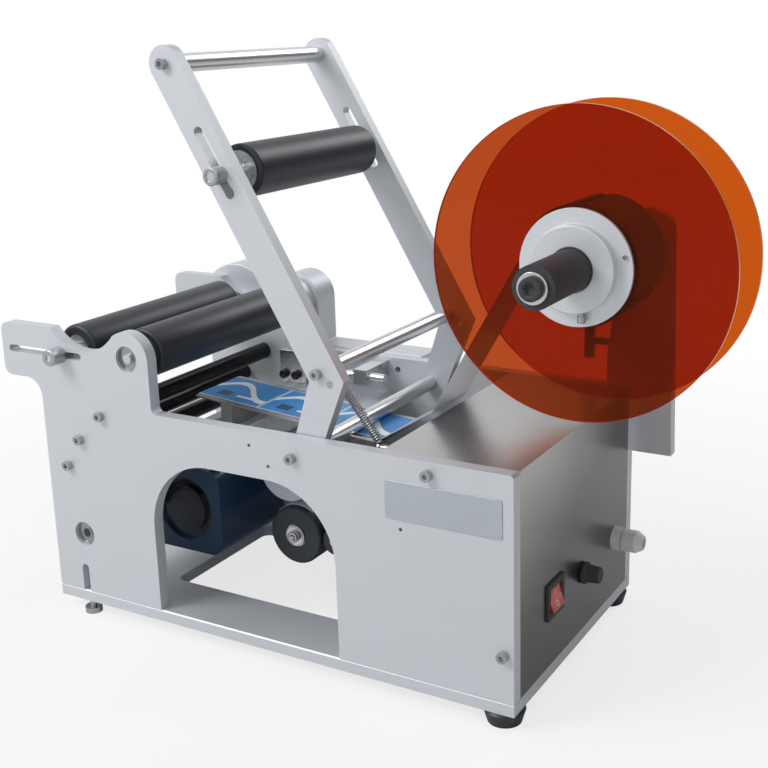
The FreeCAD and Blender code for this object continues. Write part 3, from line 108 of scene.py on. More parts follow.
class Axis(Enum):
    """Axes of the row frame as unit vectors."""

    X = (1.0, 0.0, 0.0)
    Y = (0.0, 1.0, 0.0)
    Z = (0.0, 0.0, 1.0)


# ---------------------------------------------------------------- node graphs


class Signal:
    """A number socket of a node tree that can be used in arithmetic.

    Every operator adds one Math node to the tree, whichever side the signal is on.

    Args:
        graph: The graph that the socket belongs to.
        socket: An output socket that carries one number.
    """

    def __init__(self, graph: "Graph", socket: bpy.types.NodeSocket) -> None:
        self.graph = graph
        self.socket = socket

    def math(self, operation: str, *values: Union["Signal", Number]) -> "Signal":
        """Add a Math node.

        Args:
            operation: Name of the operation, as Blender has it.
            values: The node's inputs in order, this signal among them.

        Returns:
            The node's result.
        """
        node = self.graph.make("ShaderNodeMath", {"operation": operation}, dict(enumerate(values)))
        return Signal(self.graph, node.outputs[0])

    def __add__(self, other: Union["Signal", Number]) -> "Signal":
        return self.math("ADD", self, other)

    def __radd__(self, other: Number) -> "Signal":
        return self.math("ADD", other, self)

    def __sub__(self, other: Union["Signal", Number]) -> "Signal":
        return self.math("SUBTRACT", self, other)

    def __rsub__(self, other: Number) -> "Signal":
        return self.math("SUBTRACT", other, self)

    def __mul__(self, other: Union["Signal", Number]) -> "Signal":
        return self.math("MULTIPLY", self, other)

    def __rmul__(self, other: Number) -> "Signal":
        return self.math("MULTIPLY", other, self)

    def __truediv__(self, other: Union["Signal", Number]) -> "Signal":
        return self.math("DIVIDE", self, other)

    def __rtruediv__(self, other: Number) -> "Signal":
        return self.math("DIVIDE", other, self)

    def __pow__(self, other: Union["Signal", Number]) -> "Signal":
        return self.math("POWER", self, other)

    def __neg__(self) -> "Signal":
        return self.math("MULTIPLY", self, -1.0)

    def __abs__(self) -> "Signal":
        return self.math("ABSOLUTE", self)

    def above(self, edge: Union["Signal", Number]) -> "Signal":
        """Return 1 where this signal is greater than edge, and 0 elsewhere."""
        return self.math("GREATER_THAN", self, edge)

    def below(self, edge: Union["Signal", Number]) -> "Signal":
        """Return 1 where this signal is less than edge, and 0 elsewhere."""
        return self.math("LESS_THAN", self, edge)

    def sine(self) -> "Signal":
        """Return the sine of this signal, in radians."""
        return self.math("SINE", self)

    def fraction(self) -> "Signal":
        """Return the part of this signal after its decimal point."""
        return self.math("FRACT", self)

    def greater_of(self, other: Union["Signal", Number]) -> "Signal":
        """Return the larger of this signal and another."""
        return self.math("MAXIMUM", self, other)

    def ramp(self, low: float, high: float) -> "Signal":
        """Map this signal from low..high to 0..1 with soft ends.

        Args:
            low: Value that gives 0.
            high: Value that gives 1.

        Returns:
            The mapped signal.
        """
        node = self.graph.make(
            "ShaderNodeMapRange", {"interpolation_type": "SMOOTHSTEP"}, {0: self, 1: low, 2: high}
        )
        return Signal(self.graph, node.outputs[0])


class Arrow:
    """A vector socket of a node tree that can be used in vector arithmetic.

    Args:
        graph: The graph that the socket belongs to.
        socket: An output socket that carries a vector.
    """

    def __init__(self, graph: "Graph", socket: bpy.types.NodeSocket) -> None:
        self.graph = graph
        self.socket = socket

    def math(self, operation: str, other: Union["Arrow", Sequence[float]]) -> bpy.types.Node:
        """Add a Vector Math node of this vector and another."""
        return self.graph.make("ShaderNodeVectorMath", {"operation": operation}, {0: self, 1: other})

    def __sub__(self, other: Union["Arrow", Sequence[float]]) -> "Arrow":
        return Arrow(self.graph, self.math("SUBTRACT", other).outputs[0])

    def __add__(self, other: Union["Arrow", Sequence[float]]) -> "Arrow":
        return Arrow(self.graph, self.math("ADD", other).outputs[0])

    __radd__ = __add__

    def __mul__(self, other: Union["Arrow", Sequence[float]]) -> "Arrow":
        return Arrow(self.graph, self.math("MULTIPLY", other).outputs[0])

    __rmul__ = __mul__

    def dot(self, other: Union["Arrow", Sequence[float]]) -> Signal:
        """Return the dot product of this vector and another."""
        return Signal(self.graph, self.math("DOT_PRODUCT", other).outputs["Value"])

    def length(self) -> Signal:
        """Return how long this vector is."""
        return Signal(self.graph, self.math("LENGTH", (0.0, 0.0, 0.0)).outputs["Value"])

    def parts(self) -> tuple[Signal, Signal, Signal]:
        """Return the vector's x, y and z."""
        node = self.graph.make("ShaderNodeSeparateXYZ", {}, {0: self})
        return tuple(Signal(self.graph, output) for output in node.outputs)


Feed = Union[Signal, Arrow, bpy.types.NodeSocket, Number, Sequence[float]]


class Graph:
    """The node tree of one material or world.

    Args:
        tree: The tree, which is emptied first.
    """

    def __init__(self, tree: bpy.types.NodeTree) -> None:
        self.tree = tree
        self.tree.nodes.clear()

    def make(
        self,
        kind: str,
        settings: Optional[dict[str, object]] = None,
        inputs: Optional[dict[Union[int, str], Feed]] = None,
    ) -> bpy.types.Node:
        """Add a node of any kind.

        Args:
            kind: The node's type.
            settings: Properties to set before the inputs.
            inputs: What goes into each socket, by its index or name.

        Returns:
            The new node.
        """
        node = self.tree.nodes.new(kind)
        for key, value in (settings or {}).items():
            setattr(node, key, value)
        for key, value in (inputs or {}).items():
            if isinstance(value, (Signal, Arrow)):
                value = value.socket
            if isinstance(value, bpy.types.NodeSocket):
                self.tree.links.new(value, node.inputs[key])
            else:
                node.inputs[key].default_value = value
        return node

    def place(self) -> Arrow:
        """Return the shaded point in the piece's own coordinates, in metres."""
        return Arrow(self, self.make("ShaderNodeTexCoord").outputs["Object"])

    def facing(self) -> Arrow:
        """Return the surface's direction in the piece's own coordinates."""
        return Arrow(self, self.make("ShaderNodeTexCoord").outputs["Normal"])

    def noise(self, where: Arrow, scale: float, detail: float = 2.0) -> Signal:
        """Return a noise pattern with values around one half."""
        node = self.make("ShaderNodeTexNoise", {}, {"Vector": where, "Scale": scale, "Detail": detail})
        return Signal(self, node.outputs[0])

    def blend(self, share: Union[Signal, Number], first: Feed, second: Feed) -> bpy.types.NodeSocket:
        """Mix two colours.

        Args:
            share: 0 gives the first colour and 1 the second.
            first: A colour or a socket that carries one.
            second: A colour or a socket that carries one.

        Returns:
            The mixed colour's socket.
        """
        colours = [(*c, 1.0) if isinstance(c, tuple) else c for c in (first, second)]
        node = self.make("ShaderNodeMix", {"data_type": "RGBA"}, {0: share, 6: colours[0], 7: colours[1]})
        return node.outputs[2]

    def bump(self, height: Signal, strength: float, distance: float) -> bpy.types.NodeSocket:
        """Turn a height into a normal."""
        inputs = {"Height": height, "Strength": strength, "Distance": distance}
        return self.make("ShaderNodeBump", {}, inputs).outputs["Normal"]

    def principled(self, **inputs: Feed) -> bpy.types.Node:
        """Add a Principled shader; an underscore in a name stands for a space."""
        named = {key.replace("_", " "): value for key, value in inputs.items()}
        for key, value in named.items():
            if isinstance(value, tuple) and len(value) == 3 and "Color" in key:
                named[key] = (*value, 1.0)
        return self.make("ShaderNodeBsdfPrincipled", {}, named)

    def finish(self, shader: bpy.types.Node, kind: str = "ShaderNodeOutputMaterial") -> None:
        """Send a shader to the output."""
        self.make(kind, {}, {"Surface": shader.outputs[0]})


# ------------------------------------------------------------------- finishes


@dataclass(frozen=True)
class Finish:
    """A plain surface with a fine grain and slow changes of tone.

    Attributes:
        name: The material's name.
        colour: Linear base colour.
        roughness: Mean roughness.
        metallic: 0 for a dielectric, 1 for a metal.
        coat: Weight of a clear coat.
        grain: Depth of the grain, as bump strength.
        grain_scale: Grains per metre.
        tone: How far the colour goes up and down over the piece.
        wear: How far the roughness goes up and down.
    """

    name: str
    colour: Colour
    roughness: float
    metallic: float = 0.0
    coat: float = 0.0
    grain: float = 0.05
    grain_scale: float = 1800.0
    tone: float = 0.05
    wear: float = 0.05

    def stretch(self, where: Arrow) -> Arrow:
        """Return the coordinates that the grain is laid in."""
        return where

    def colour_at(self, graph: Graph, where: Arrow) -> Feed:
        """Return the base colour over the surface."""
        slow = graph.noise(where, 9.0, 3.0)
        darker = tuple(c * (1.0 - self.tone) for c in self.colour)
        lighter = tuple(min(1.0, c * (1.0 + self.tone)) for c in self.colour)
        return graph.blend(slow, darker, lighter)

    def relief(self, graph: Graph, where: Arrow) -> Signal:
        """Return the height of the fine surface pattern."""
        return graph.noise(self.stretch(where), self.grain_scale, 2.0)

    def shader(self, graph: Graph) -> bpy.types.Node:
        """Build the surface shader."""
        where = graph.place()
        height = self.relief(graph, where)
        rough = (height - 0.5) * self.wear + graph.noise(where, 14.0) * self.wear
        return graph.principled(
            Base_Color=self.colour_at(graph, where),
            Roughness=rough + (self.roughness - 0.5 * self.wear),
            Metallic=self.metallic,
            Coat_Weight=self.coat,
            Normal=graph.bump(height, self.grain, 0.0004),
        )

    def material(self) -> bpy.types.Material:
        """Return this finish's material, made on its first use."""
        made = bpy.data.materials.get(self.name)
        if made is None:
            made = bpy.data.materials.new(self.name)
            made.use_nodes = True
            graph = Graph(made.node_tree)
            graph.finish(self.shader(graph))
        return made


@dataclass(frozen=True)
class Brushed(Finish):
    """Sheet metal brushed along one axis.

    Attributes:
        along: The axis that the strokes follow.
        strokes: How much longer a stroke is than it is wide.
    """

    along: Axis = Axis.X
    strokes: float = 60.0

    def stretch(self, where: Arrow) -> Arrow:
        """Return coordinates squeezed along the strokes."""
        return where * tuple(1.0 / self.strokes if part else 1.0 for part in self.along.value)


@dataclass(frozen=True)
class Clear(Finish):
    """Clear tinted sheet whose cut edge carries a painted glow.

    Attributes:
        tint: What one face lets through.
        body: How much of the surface's own colour shows.
        painted_rim_glow: Colour of the cut edge, a painted glow brighter than the sheet.
    """

    tint: Colour = (1.0, 1.0, 1.0)
    body: float = 0.2
    painted_rim_glow: Colour = (1.0, 0.4, 0.05)

    def shader(self, graph: Graph) -> bpy.types.Node:
        """Build a tinted clear face that turns into a cut edge with a painted glow."""
        # painted glow: faces that point across Y take the bright painted_rim_glow colour
        edge = (1.0 - abs(graph.facing().dot(Axis.Y.value))).ramp(0.3, 0.7)
        solid = graph.principled(
            Base_Color=graph.blend(edge, self.colour, self.painted_rim_glow),
            Roughness=self.roughness,
            Coat_Weight=self.coat,
        )
        clear = graph.make("ShaderNodeBsdfTransparent", {}, {"Color": (*self.tint, 1.0)})
        share = edge * (0.86 - self.body) + self.body
        return graph.make(
            "ShaderNodeMixShader", {}, {0: share, 1: clear.outputs[0], 2: solid.outputs[0]}
        )


@dataclass(frozen=True)
class LabelPrint(Finish):
    """A pale liner that carries printed labels at an even pitch along X.

    Attributes:
        start: Where the first label begins, in metres.
        pitch: Distance from label to label.
        gap: Bare liner between two labels.
        middle: Y of the web's middle.
        width: Width of a label.
        last: X past which the liner is bare.
        ink: The labels' main colour.
        paper: Colour of the unprinted shapes.
    """

    start: float = 0.0
    pitch: float = 44 * MM
    gap: float = 3 * MM
    middle: float = 0.0
    width: float = 54 * MM
    last: float = 1.0
    ink: Colour = (0.1, 0.4, 0.75)
    paper: Colour = (0.8, 0.85, 0.9)

    def colour_at(self, graph: Graph, where: Arrow) -> Feed:
        """Return the printed pattern."""
        x, y, _ = where.parts()
        along = ((x - self.start) / self.pitch).fraction()
        across = (y - self.middle) / self.width + 0.5
        reach = 1.0 - self.gap / self.pitch
        inside = along.below(reach) * across.above(0.0) * across.below(1.0) * x.below(self.last)
        swirl = (along * 5.2).sine() * 0.3 + 0.5 - across
        sweep = abs(swirl).below(0.075)
        glow = graph.noise(where, 60.0, 2.0)
        deep, pale = (tuple(min(1.0, c * share) for c in self.ink) for share in (0.75, 1.35))
        inked = graph.blend(glow, deep, pale)
        dark = (abs(along - 0.28).below(0.1)) * (abs(across - 0.25).below(0.11))
        rows = (across * 34.0).sine().above(0.2)
        lines = rows * abs(along - 0.66).below(0.17) * abs(across - 0.22).below(0.1)
        panel = graph.blend(dark, inked, tuple(c * 0.25 for c in self.ink))
        shown = graph.blend(sweep.greater_of(lines), panel, self.paper)
        return graph.blend(inside, self.colour, shown)


@dataclass(frozen=True)
class PaintedShadePanel(Finish):
    """Sheet metal with a painted reflection of a dark room, as painted shade that darkens it along one
    direction.

    Attributes:
        shade_fall: Direction in which the painted shade grows darker, per metre.
        start: Value along shade_fall at which the painted shade begins.
        dark: Share of the colour that the painted shade leaves at its end.
    """

    shade_fall: Point = (0.0, 0.0, -1.0)
    start: float = 0.0
    dark: float = 0.4

    def colour_at(self, graph: Graph, where: Arrow) -> Feed:
        """Return the colour darkened by its painted shade, with a slow cloud."""
        cloud = (graph.noise(where, 7.0, 3.0) - 0.5) * 0.5
        # painted shade: the colour darkens along shade_fall, a painted reflection of a dark room
        share = (where.dot(self.shade_fall) + cloud * 0.3).ramp(self.start, self.start + 1.0)
        return graph.blend(share, self.colour, tuple(c * self.dark for c in self.colour))


@dataclass(frozen=True)
class MotorFace(Finish):
    """Enamel with a black turned middle about an axis along Y, with painted ring highlights on the middle.

    Attributes:
        centre: A point of the axis.
        hub: Radius of the black middle.
        shade: Colour of the middle.
    """

    centre: Point = (0.0, 0.0, 0.0)
    hub: float = 26 * MM
    shade: Colour = (0.006, 0.007, 0.01)

    def colour_at(self, graph: Graph, where: Arrow) -> Feed:
        """Return enamel outside the hub, and within it black with painted ring highlights."""
        reach = ((where - self.centre) * (1.0, 0.0, 1.0)).length()
        inside = 1.0 - reach.ramp(self.hub, self.hub * 1.06)
        # painted highlights: lighter rings on the black middle stand in for the shine of its turned rings
        rings = abs((reach * (1.0 / (6 * MM))).fraction() - 0.5).below(0.08) * 0.25
        return graph.blend(inside - rings * inside, self.colour, self.shade)


@dataclass(frozen=True)
class Rocker(Finish):
    """Plastic with a painted glow that carries the two generic marks of a switch.

    Attributes:
        middle: Centre of the rocker's face.
        apart: Height of either mark above or below the middle.
        ring: Radius of the round mark.
        line: Width of a stroke.
        ink: Colour of the marks.
    """

    middle: Point = (0.0, 0.0, 0.0)
    apart: float = 4.6 * MM
    ring: float = 2.0 * MM
    line: float = 0.7 * MM
    ink: Colour = (0.9, 0.62, 0.5)

    def colour_at(self, graph: Graph, where: Arrow) -> Feed:
        """Return the plastic with its painted glow, a ring below and a bar above."""
        low = (where - self.middle + (0.0, 0.0, self.apart)) * (0.0, 1.0, 1.0)
        ring = abs(low.length() - self.ring).below(self.line / 2)
        _, across, height = (where - self.middle).parts()
        bar = abs(across).below(self.line / 2) * abs(height - self.apart).below(self.ring)
        # painted glow: full colour at the middle, darker toward both ends
        glow = abs(height).ramp(0.0, 9 * MM)
        plastic = graph.blend(glow, self.colour, tuple(c * 0.45 for c in self.colour))
        return graph.blend(ring.greater_of(bar), plastic, self.ink)


FINISHES: dict[Slot, Finish] = {
    Slot.ALUMINIUM: Finish("sandblasted", (0.64, 0.67, 0.71), 0.5, 0.4, grain=0.14, grain_scale=2600.0,
                           tone=0.03),
    Slot.BRIGHT_STEEL: Finish("chrome", (0.7, 0.71, 0.73), 0.3, 1.0, grain=0.01, tone=0.02, wear=0.04),
    Slot.SCREW_STEEL: Finish("zinc", (0.42, 0.42, 0.44), 0.26, 1.0, grain=0.05, wear=0.1),
    Slot.RUBBER: Finish("rubber", (0.016, 0.021, 0.03), 0.42, 0.0, grain=0.08, wear=0.08),
    Slot.TURNED: Finish("turned", (0.6, 0.61, 0.63), 0.27, 1.0, grain=0.06, wear=0.1),
    Slot.STAINLESS: Brushed("stainless", (0.5, 0.495, 0.49), 0.3, 1.0, grain=0.1, grain_scale=2400.0,
                            wear=0.12, along=Axis.X),
    # dark_sheet: near-black colour that stands in for the shade inside the frame
    Slot.DARK_SHEET: Finish("dark_sheet", (0.05, 0.052, 0.056), 0.4, 0.0, grain=0.06),
    Slot.BLACK_PLASTIC: Finish("black_plastic", (0.008, 0.008, 0.01), 0.3, 0.0, grain=0.04),
    Slot.NYLON: Finish("nylon", (0.7, 0.72, 0.75), 0.4, 0.0, grain=0.03),
    Slot.BELT: Finish("belt", (0.015, 0.015, 0.015), 0.6, 0.0),
    # amber: its cut edge carries a painted glow
    Slot.AMBER: Clear("amber", (0.5, 0.09, 0.015), 0.1, 0.0, coat=0.3, tint=(0.8, 0.33, 0.09), body=0.1,
                      painted_rim_glow=(1.0, 0.33, 0.04)),
}
BLACKENED = Finish("blackened_steel", (0.02, 0.02, 0.022), 0.28, 0.6, grain=0.03)
LINER = Finish("liner", (0.55, 0.6, 0.66), 0.36, 0.0, coat=0.2, grain=0.02)
KNURLED = Finish("knurled", (0.42, 0.43, 0.45), 0.34, 1.0, grain=0.9, grain_scale=900.0)
BEARING = Finish("bearing", (0.34, 0.35, 0.37), 0.26, 1.0, grain=0.05)
ANODISED = Finish("anodised", (0.7, 0.73, 0.77), 0.42, 0.3, grain=0.06, tone=0.03)
PLATE = Brushed("bare_plate", (0.52, 0.56, 0.62), 0.3, 0.85, grain=0.08, grain_scale=2000.0, along=Axis.X)


# --------------------------------------------------------------------- shapes


def spot(x: float, y: float, z: float) -> Vector:
    """Return the point at millimetres from the base plate's lowest corner."""
    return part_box("base_plate")[0] + Vector((x, y, z)) * MM


def piece(name: str, points: Sequence[Vector], faces: Sequence[Sequence[int]], finish: Finish,
          body: Optional[str], bevel: float = 0.3 * MM) -> bpy.types.Object:
    """Make a piece of the scene and hang it on its body.

    Args:
        name: Its name.
        points: Its corners, in the row frame.
        faces: Its faces, by corner.
        finish: Its surface.
        body: The body that carries it, or None where it stretches between two.
        bevel: Width of its rounded edges, 0 for none.

    Returns:
        The new object.
    """
    mesh = bpy.data.meshes.new(name)
    mesh.from_pydata(points, [], faces)
    mesh.validate()
    for polygon in mesh.polygons:
        polygon.use_smooth = True
    made = bpy.data.objects.new(name, mesh)
    bpy.context.scene.collection.objects.link(made)
    mesh.materials.append(finish.material())
    if bevel:
        soft = made.modifiers.new("edges", "BEVEL")
        soft.width = bevel
        soft.segments = 2
        soft.limit_method = "ANGLE"
        soft.angle_limit = EDGE_ANGLE
        soft.harden_normals = True
    if body:
        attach(made, body)
    LOG.info("piece %s on %s", name, body)
    return made


def lathe(name: str, centre: Vector, profile: Sequence[tuple[float, float]], finish: Finish, body: str,
          axis: Axis = Axis.Y, segments: int = 72, flutes: int = 0,
          bevel: float = 0.3 * MM) -> bpy.types.Object:
    """Turn a closed profile about an axis.

    Args:
        name: Name of the piece.
        centre: Where the profile's zero lies on the axis.
        profile: Corners as distance along the axis and radius, in millimetres.
        finish: Its surface.
        body: The body that carries it.
        axis: The axis that it is turned about.
        segments: Steps round the axis.
        flutes: How many grooves run along it.
        bevel: Width of its rounded edges.

    Returns:
        The new piece.
    """
    points, faces = [], []
    count = len(profile)
    for step in range(segments):
        angle = 2.0 * math.pi * step / segments
        sunk = 1.0 - 0.07 * (0.5 + 0.5 * math.cos(flutes * angle)) if flutes else 1.0
        for along, radius in profile:
            side, up = radius * sunk * math.cos(angle), radius * sunk * math.sin(angle)
            offset = {
                Axis.X: (along, side, up),
                Axis.Y: (side, along, up),
                Axis.Z: (side, up, along),
            }[axis]
            points.append(centre + Vector(offset) * MM)
        after = (step + 1) % segments
        for index in range(count):
            other = (index + 1) % count
            loop = (step * count + index, step * count + other, after * count + other, after * count + index)
            faces.append(loop if axis is Axis.Y else loop[::-1])
    return piece(name, points, faces, finish, body, bevel)


def slab(name: str, outline: Sequence[tuple[float, float]], near: float, far: float, finish: Finish,
         body: str, bevel: float = 0.3 * MM) -> bpy.types.Object:
    """Raise an outline in X and Z along Y.

    Args:
        name: Name of the piece.
        outline: Corners in millimetres, anticlockwise as seen from the near side.
        near: Y of its near face.
        far: Y of its far face.
        finish: Its surface.
        body: The body that carries it.
        bevel: Width of its rounded edges.

    Returns:
        The new piece.
    """
    count = len(outline)
    points = [spot(x, y, z) for y in (near, far) for x, z in outline]
    faces = [list(range(count)), list(range(2 * count - 1, count - 1, -1))]
    for index in range(count):
        after = (index + 1) % count
        faces.append([after, index, index + count, after + count])
    return piece(name, points, faces, finish, body, bevel)


def rounded(low: tuple[float, float], high: tuple[float, float], radius: float,
            steps: int = 6) -> list[tuple[float, float]]:
    """Return the corners of a rectangle with round corners."""
    corners = [(high[0], low[1], -90.0), (high[0], high[1], 0.0), (low[0], high[1], 90.0),
               (low[0], low[1], 180.0)]
    found = []
    for x, z, begin in corners:
        middle = (x - math.copysign(radius, x - low[0] - 1e-6), z - math.copysign(radius, z - low[1] - 1e-6))
        for step in range(steps + 1):
            angle = math.radians(begin + 90.0 * step / steps)
            found.append((middle[0] + radius * math.cos(angle), middle[1] + radius * math.sin(angle)))
    return found


# ----------------------------------------------------------------- assemblies


@dataclass
class RollerCover:
    """Thick rubber of a bottle roller, longer than its core, with a core plug at either end.

    Attributes:
        node: The construction's rubber.
        body: The body that turns.
        overhang: How far it stands past the construction's rubber.
        bore: Radius of the core.
        plug: Radius of the hole round the shaft.
        edge: Radius of its rounded ends.
    """

    node: str
    body: str
    overhang: float = 8.0
    bore: float = 12.4
    plug: float = 4.5
    edge: float = 3.0

    def build(self) -> None:
        """Make the cover and both plugs."""
        low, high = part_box(self.node)
        radius = (high.z - low.z) / 2 / MM
        centre = Vector(((low.x + high.x) / 2, low.y, (low.z + high.z) / 2))
        near, far = -self.overhang, (high.y - low.y) / MM + self.overhang
        profile = [(near, self.bore)]
        for end, sign in ((near, 1.0), (far, -1.0)):
            turns = [math.radians(90.0 * step / 5) for step in range(6)]
            arc = [(end + sign * self.edge * (1 - math.sin(t)), radius - self.edge * (1 - math.cos(t)))
                   for t in reversed(turns)]
            profile += arc if sign > 0 else arc[::-1]
        profile.append((far, self.bore))
        cover = lathe(f"{self.body}_cover", centre, profile, FINISHES[Slot.RUBBER], self.body,
                      bevel=0.0)
        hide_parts(self.node)
        for side, start, sign in (("near", near, 1.0), ("far", far, -1.0)):
            face, back = start + sign * 0.6, start + sign * (self.overhang + 0.4)
            ring = [(face, self.plug), (face, self.bore + 0.05), (back, self.bore + 0.05), (back, self.plug)]
            lathe(f"{self.body}_plug_{side}", centre, ring if sign > 0 else ring[::-1],
                  FINISHES[Slot.TURNED], self.body)


@dataclass
class TractionEnd:
    """Rubber of the traction roller with its washer and socket cap screw.

    Attributes:
        core: Radius of the core.
        washer: Radius of the washer.
        head: Radius of the screw's head.
        proud: How far the head stands out of the washer.
        hexagon: Radius of the hexagon socket.
        wrap: Gap between the rubber and the liner on it.
        wrap_start: Angle at which the liner meets the roller, in degrees.
        wrap_end: Angle at which it leaves.
    """

    core: float = 10.0
    washer: float = 9.5
    head: float = 5.0
    proud: float = 5.0
    hexagon: float = 2.6
    wrap: float = 0.35
    wrap_start: float = 55.0
    wrap_end: float = 265.0

    def build(self) -> None:
        """Make rubber, washer, screw and the liner round the roller."""
        low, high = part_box("traction_rubber")
        centre = Vector(((low.x + high.x) / 2, low.y, (low.z + high.z) / 2))
        radius, length = (high.z - low.z) / 2 / MM, (high.y - low.y) / MM
        rubber = lathe("traction_cover", centre,
                       [(-0.5, self.core), (-0.5, radius - 1.5), (1.0, radius), (length - 1.0, radius),
                        (length, radius - 1.5), (length, self.core)],
                       FINISHES[Slot.RUBBER], "traction_roller")
        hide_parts("traction_rubber")
        lathe("traction_washer", centre,
              [(-1.7, self.head - 0.5), (-1.7, self.washer), (-0.4, self.washer), (-0.4, self.head - 0.5)],
              FINISHES[Slot.SCREW_STEEL], "traction_roller")
        web_low, web_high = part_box("label_web")
        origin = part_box("base_plate")[0]
        x, z = (centre.x - origin.x) / MM, (centre.z - origin.z) / MM
        angles = [math.radians(self.wrap_start + (self.wrap_end - self.wrap_start) * step / 40)
                  for step in range(41)]
        outer = [(x + (radius + 2.5 * self.wrap) * math.cos(a), z + (radius + 2.5 * self.wrap) * math.sin(a))
                 for a in angles]
        inner = [(x + (radius + self.wrap) * math.cos(a), z + (radius + self.wrap) * math.sin(a))
                 for a in reversed(angles)]
        slab("liner_wrap", outer + inner, (web_low.y - origin.y) / MM, (web_high.y - origin.y) / MM, LINER,
             "frame", 0.0)
        socket_screw("traction_screw", centre + Vector((0.0, -1.6, 0.0)) * MM, self.head, self.proud,
                     self.hexagon, FINISHES[Slot.SCREW_STEEL], "traction_roller")


def socket_screw(name: str, seat: Vector, radius: float, tall: float, hexagon: float, finish: Finish,
                 body: str) -> bpy.types.Object:
    """Make a cap screw's head that faces the near side, with a hexagon socket.

    Args:
        name: Name of the piece.
        seat: Middle of the face that it stands on.
        radius: The head's radius.
        tall: The head's height.
        hexagon: Radius of the socket's corners.
        finish: Its surface.
        body: The body that carries it.

    Returns:
        The new piece.
    """
    steps = 48
    rows = [(0.0, radius, False), (-tall + 0.6, radius, False), (-tall, radius - 0.6, False),
            (-tall, hexagon, True), (-tall * 0.45, hexagon, True)]
    points, faces = [], []
    for along, reach, six in rows:
        for step in range(steps):
            angle = 2.0 * math.pi * step / steps
            inner = math.cos(math.pi / 6) / math.cos((angle % (math.pi / 3)) - math.pi / 6) if six else 1.0
            points.append(seat + Vector((reach * inner * math.cos(angle), along,
                                         reach * inner * math.sin(angle))) * MM)
    for row in range(len(rows) - 1):
        for step in range(steps):
            after = (step + 1) % steps
            faces.append((row * steps + step, row * steps + after, (row + 1) * steps + after,
                          (row + 1) * steps + step))
    faces.append(tuple(range(steps - 1, -1, -1)))
    faces.append(tuple((len(rows) - 1) * steps + step for step in range(steps)))
    return piece(name, points, faces, finish, body, 0.0)


@dataclass
class ReelFront:
    """Flange and boss of the front disc, the axle's end and its black screw.

    Attributes:
        boss: Radius of the boss.
        bore: Radius of the hole round the sleeve.
        thick: Thickness of the flange.
        ring: Radius of the axle's end ring.
        screw: Radius of the black cap screw.
        tall: Height of its head.
        shift: How far the set screw lies from the boss's lowest point.
    """

    boss: float = 32.0
    bore: float = 15.8
    thick: float = 3.0
    ring: float = 11.2
    screw: float = 8.4
    tall: float = 4.2
    shift: float = 7.0

    def build(self) -> None:
        """Make the flange, its pin and set screw, and the end of the axle."""
        low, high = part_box("front_disc")
        x, z = (low.x + high.x) / 2, (low.z + high.z) / 2
        flange_low, flange_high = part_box("front_flange")
        face = Vector((x, flange_high.y, z))
        radius = (flange_high.x - flange_low.x) / 2 / MM
        depth = (flange_high.y - flange_low.y) / MM
        flange = lathe("reel_flange", face,
                       [(0.0, self.bore), (-depth + 1.0, self.bore), (-depth, self.bore + 1.0),
                        (-depth, self.boss - 0.8), (-depth + 0.8, self.boss), (-self.thick, self.boss),
                        (-self.thick, radius), (0.0, radius)],
                       ANODISED, "front_reel_disc", segments=96)
        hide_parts("front_flange")
        lathe("flange_pin", face + Vector((37.2, -self.thick - 1.6, 10.3)) * MM,
              [(0.0, 0.01), (0.0, 1.8), (1.8, 1.8), (1.8, 0.01)], FINISHES[Slot.SCREW_STEEL],
              "front_reel_disc", segments=24, bevel=0.2 * MM)
        lathe("flange_set_screw", face + Vector((self.shift, -(depth + self.thick) / 2, -self.boss)) * MM,
              [(2.0, 0.01), (-5.5, 0.01), (-6.5, 1.4), (-6.5, 2.6), (-6.0, 3.0), (-1.5, 3.0), (-1.5, 2.0),
               (2.0, 2.0)],
              FINISHES[Slot.SCREW_STEEL], "front_reel_disc", Axis.Z, 32, bevel=0.2 * MM)
        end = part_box("reel_axle")[0]
        seat = Vector((x, end.y + 2.2 * MM, z))
        lathe("axle_ring", seat, [(0.2, 4.0), (-0.6, 4.0), (-0.6, self.ring), (0.2, self.ring)],
              FINISHES[Slot.TURNED], "frame")
        socket_screw("axle_screw", seat + Vector((0.0, -0.5, 0.0)) * MM, self.screw, self.tall, 4.4,
                     FINISHES[Slot.BLACK_PLASTIC], "frame")


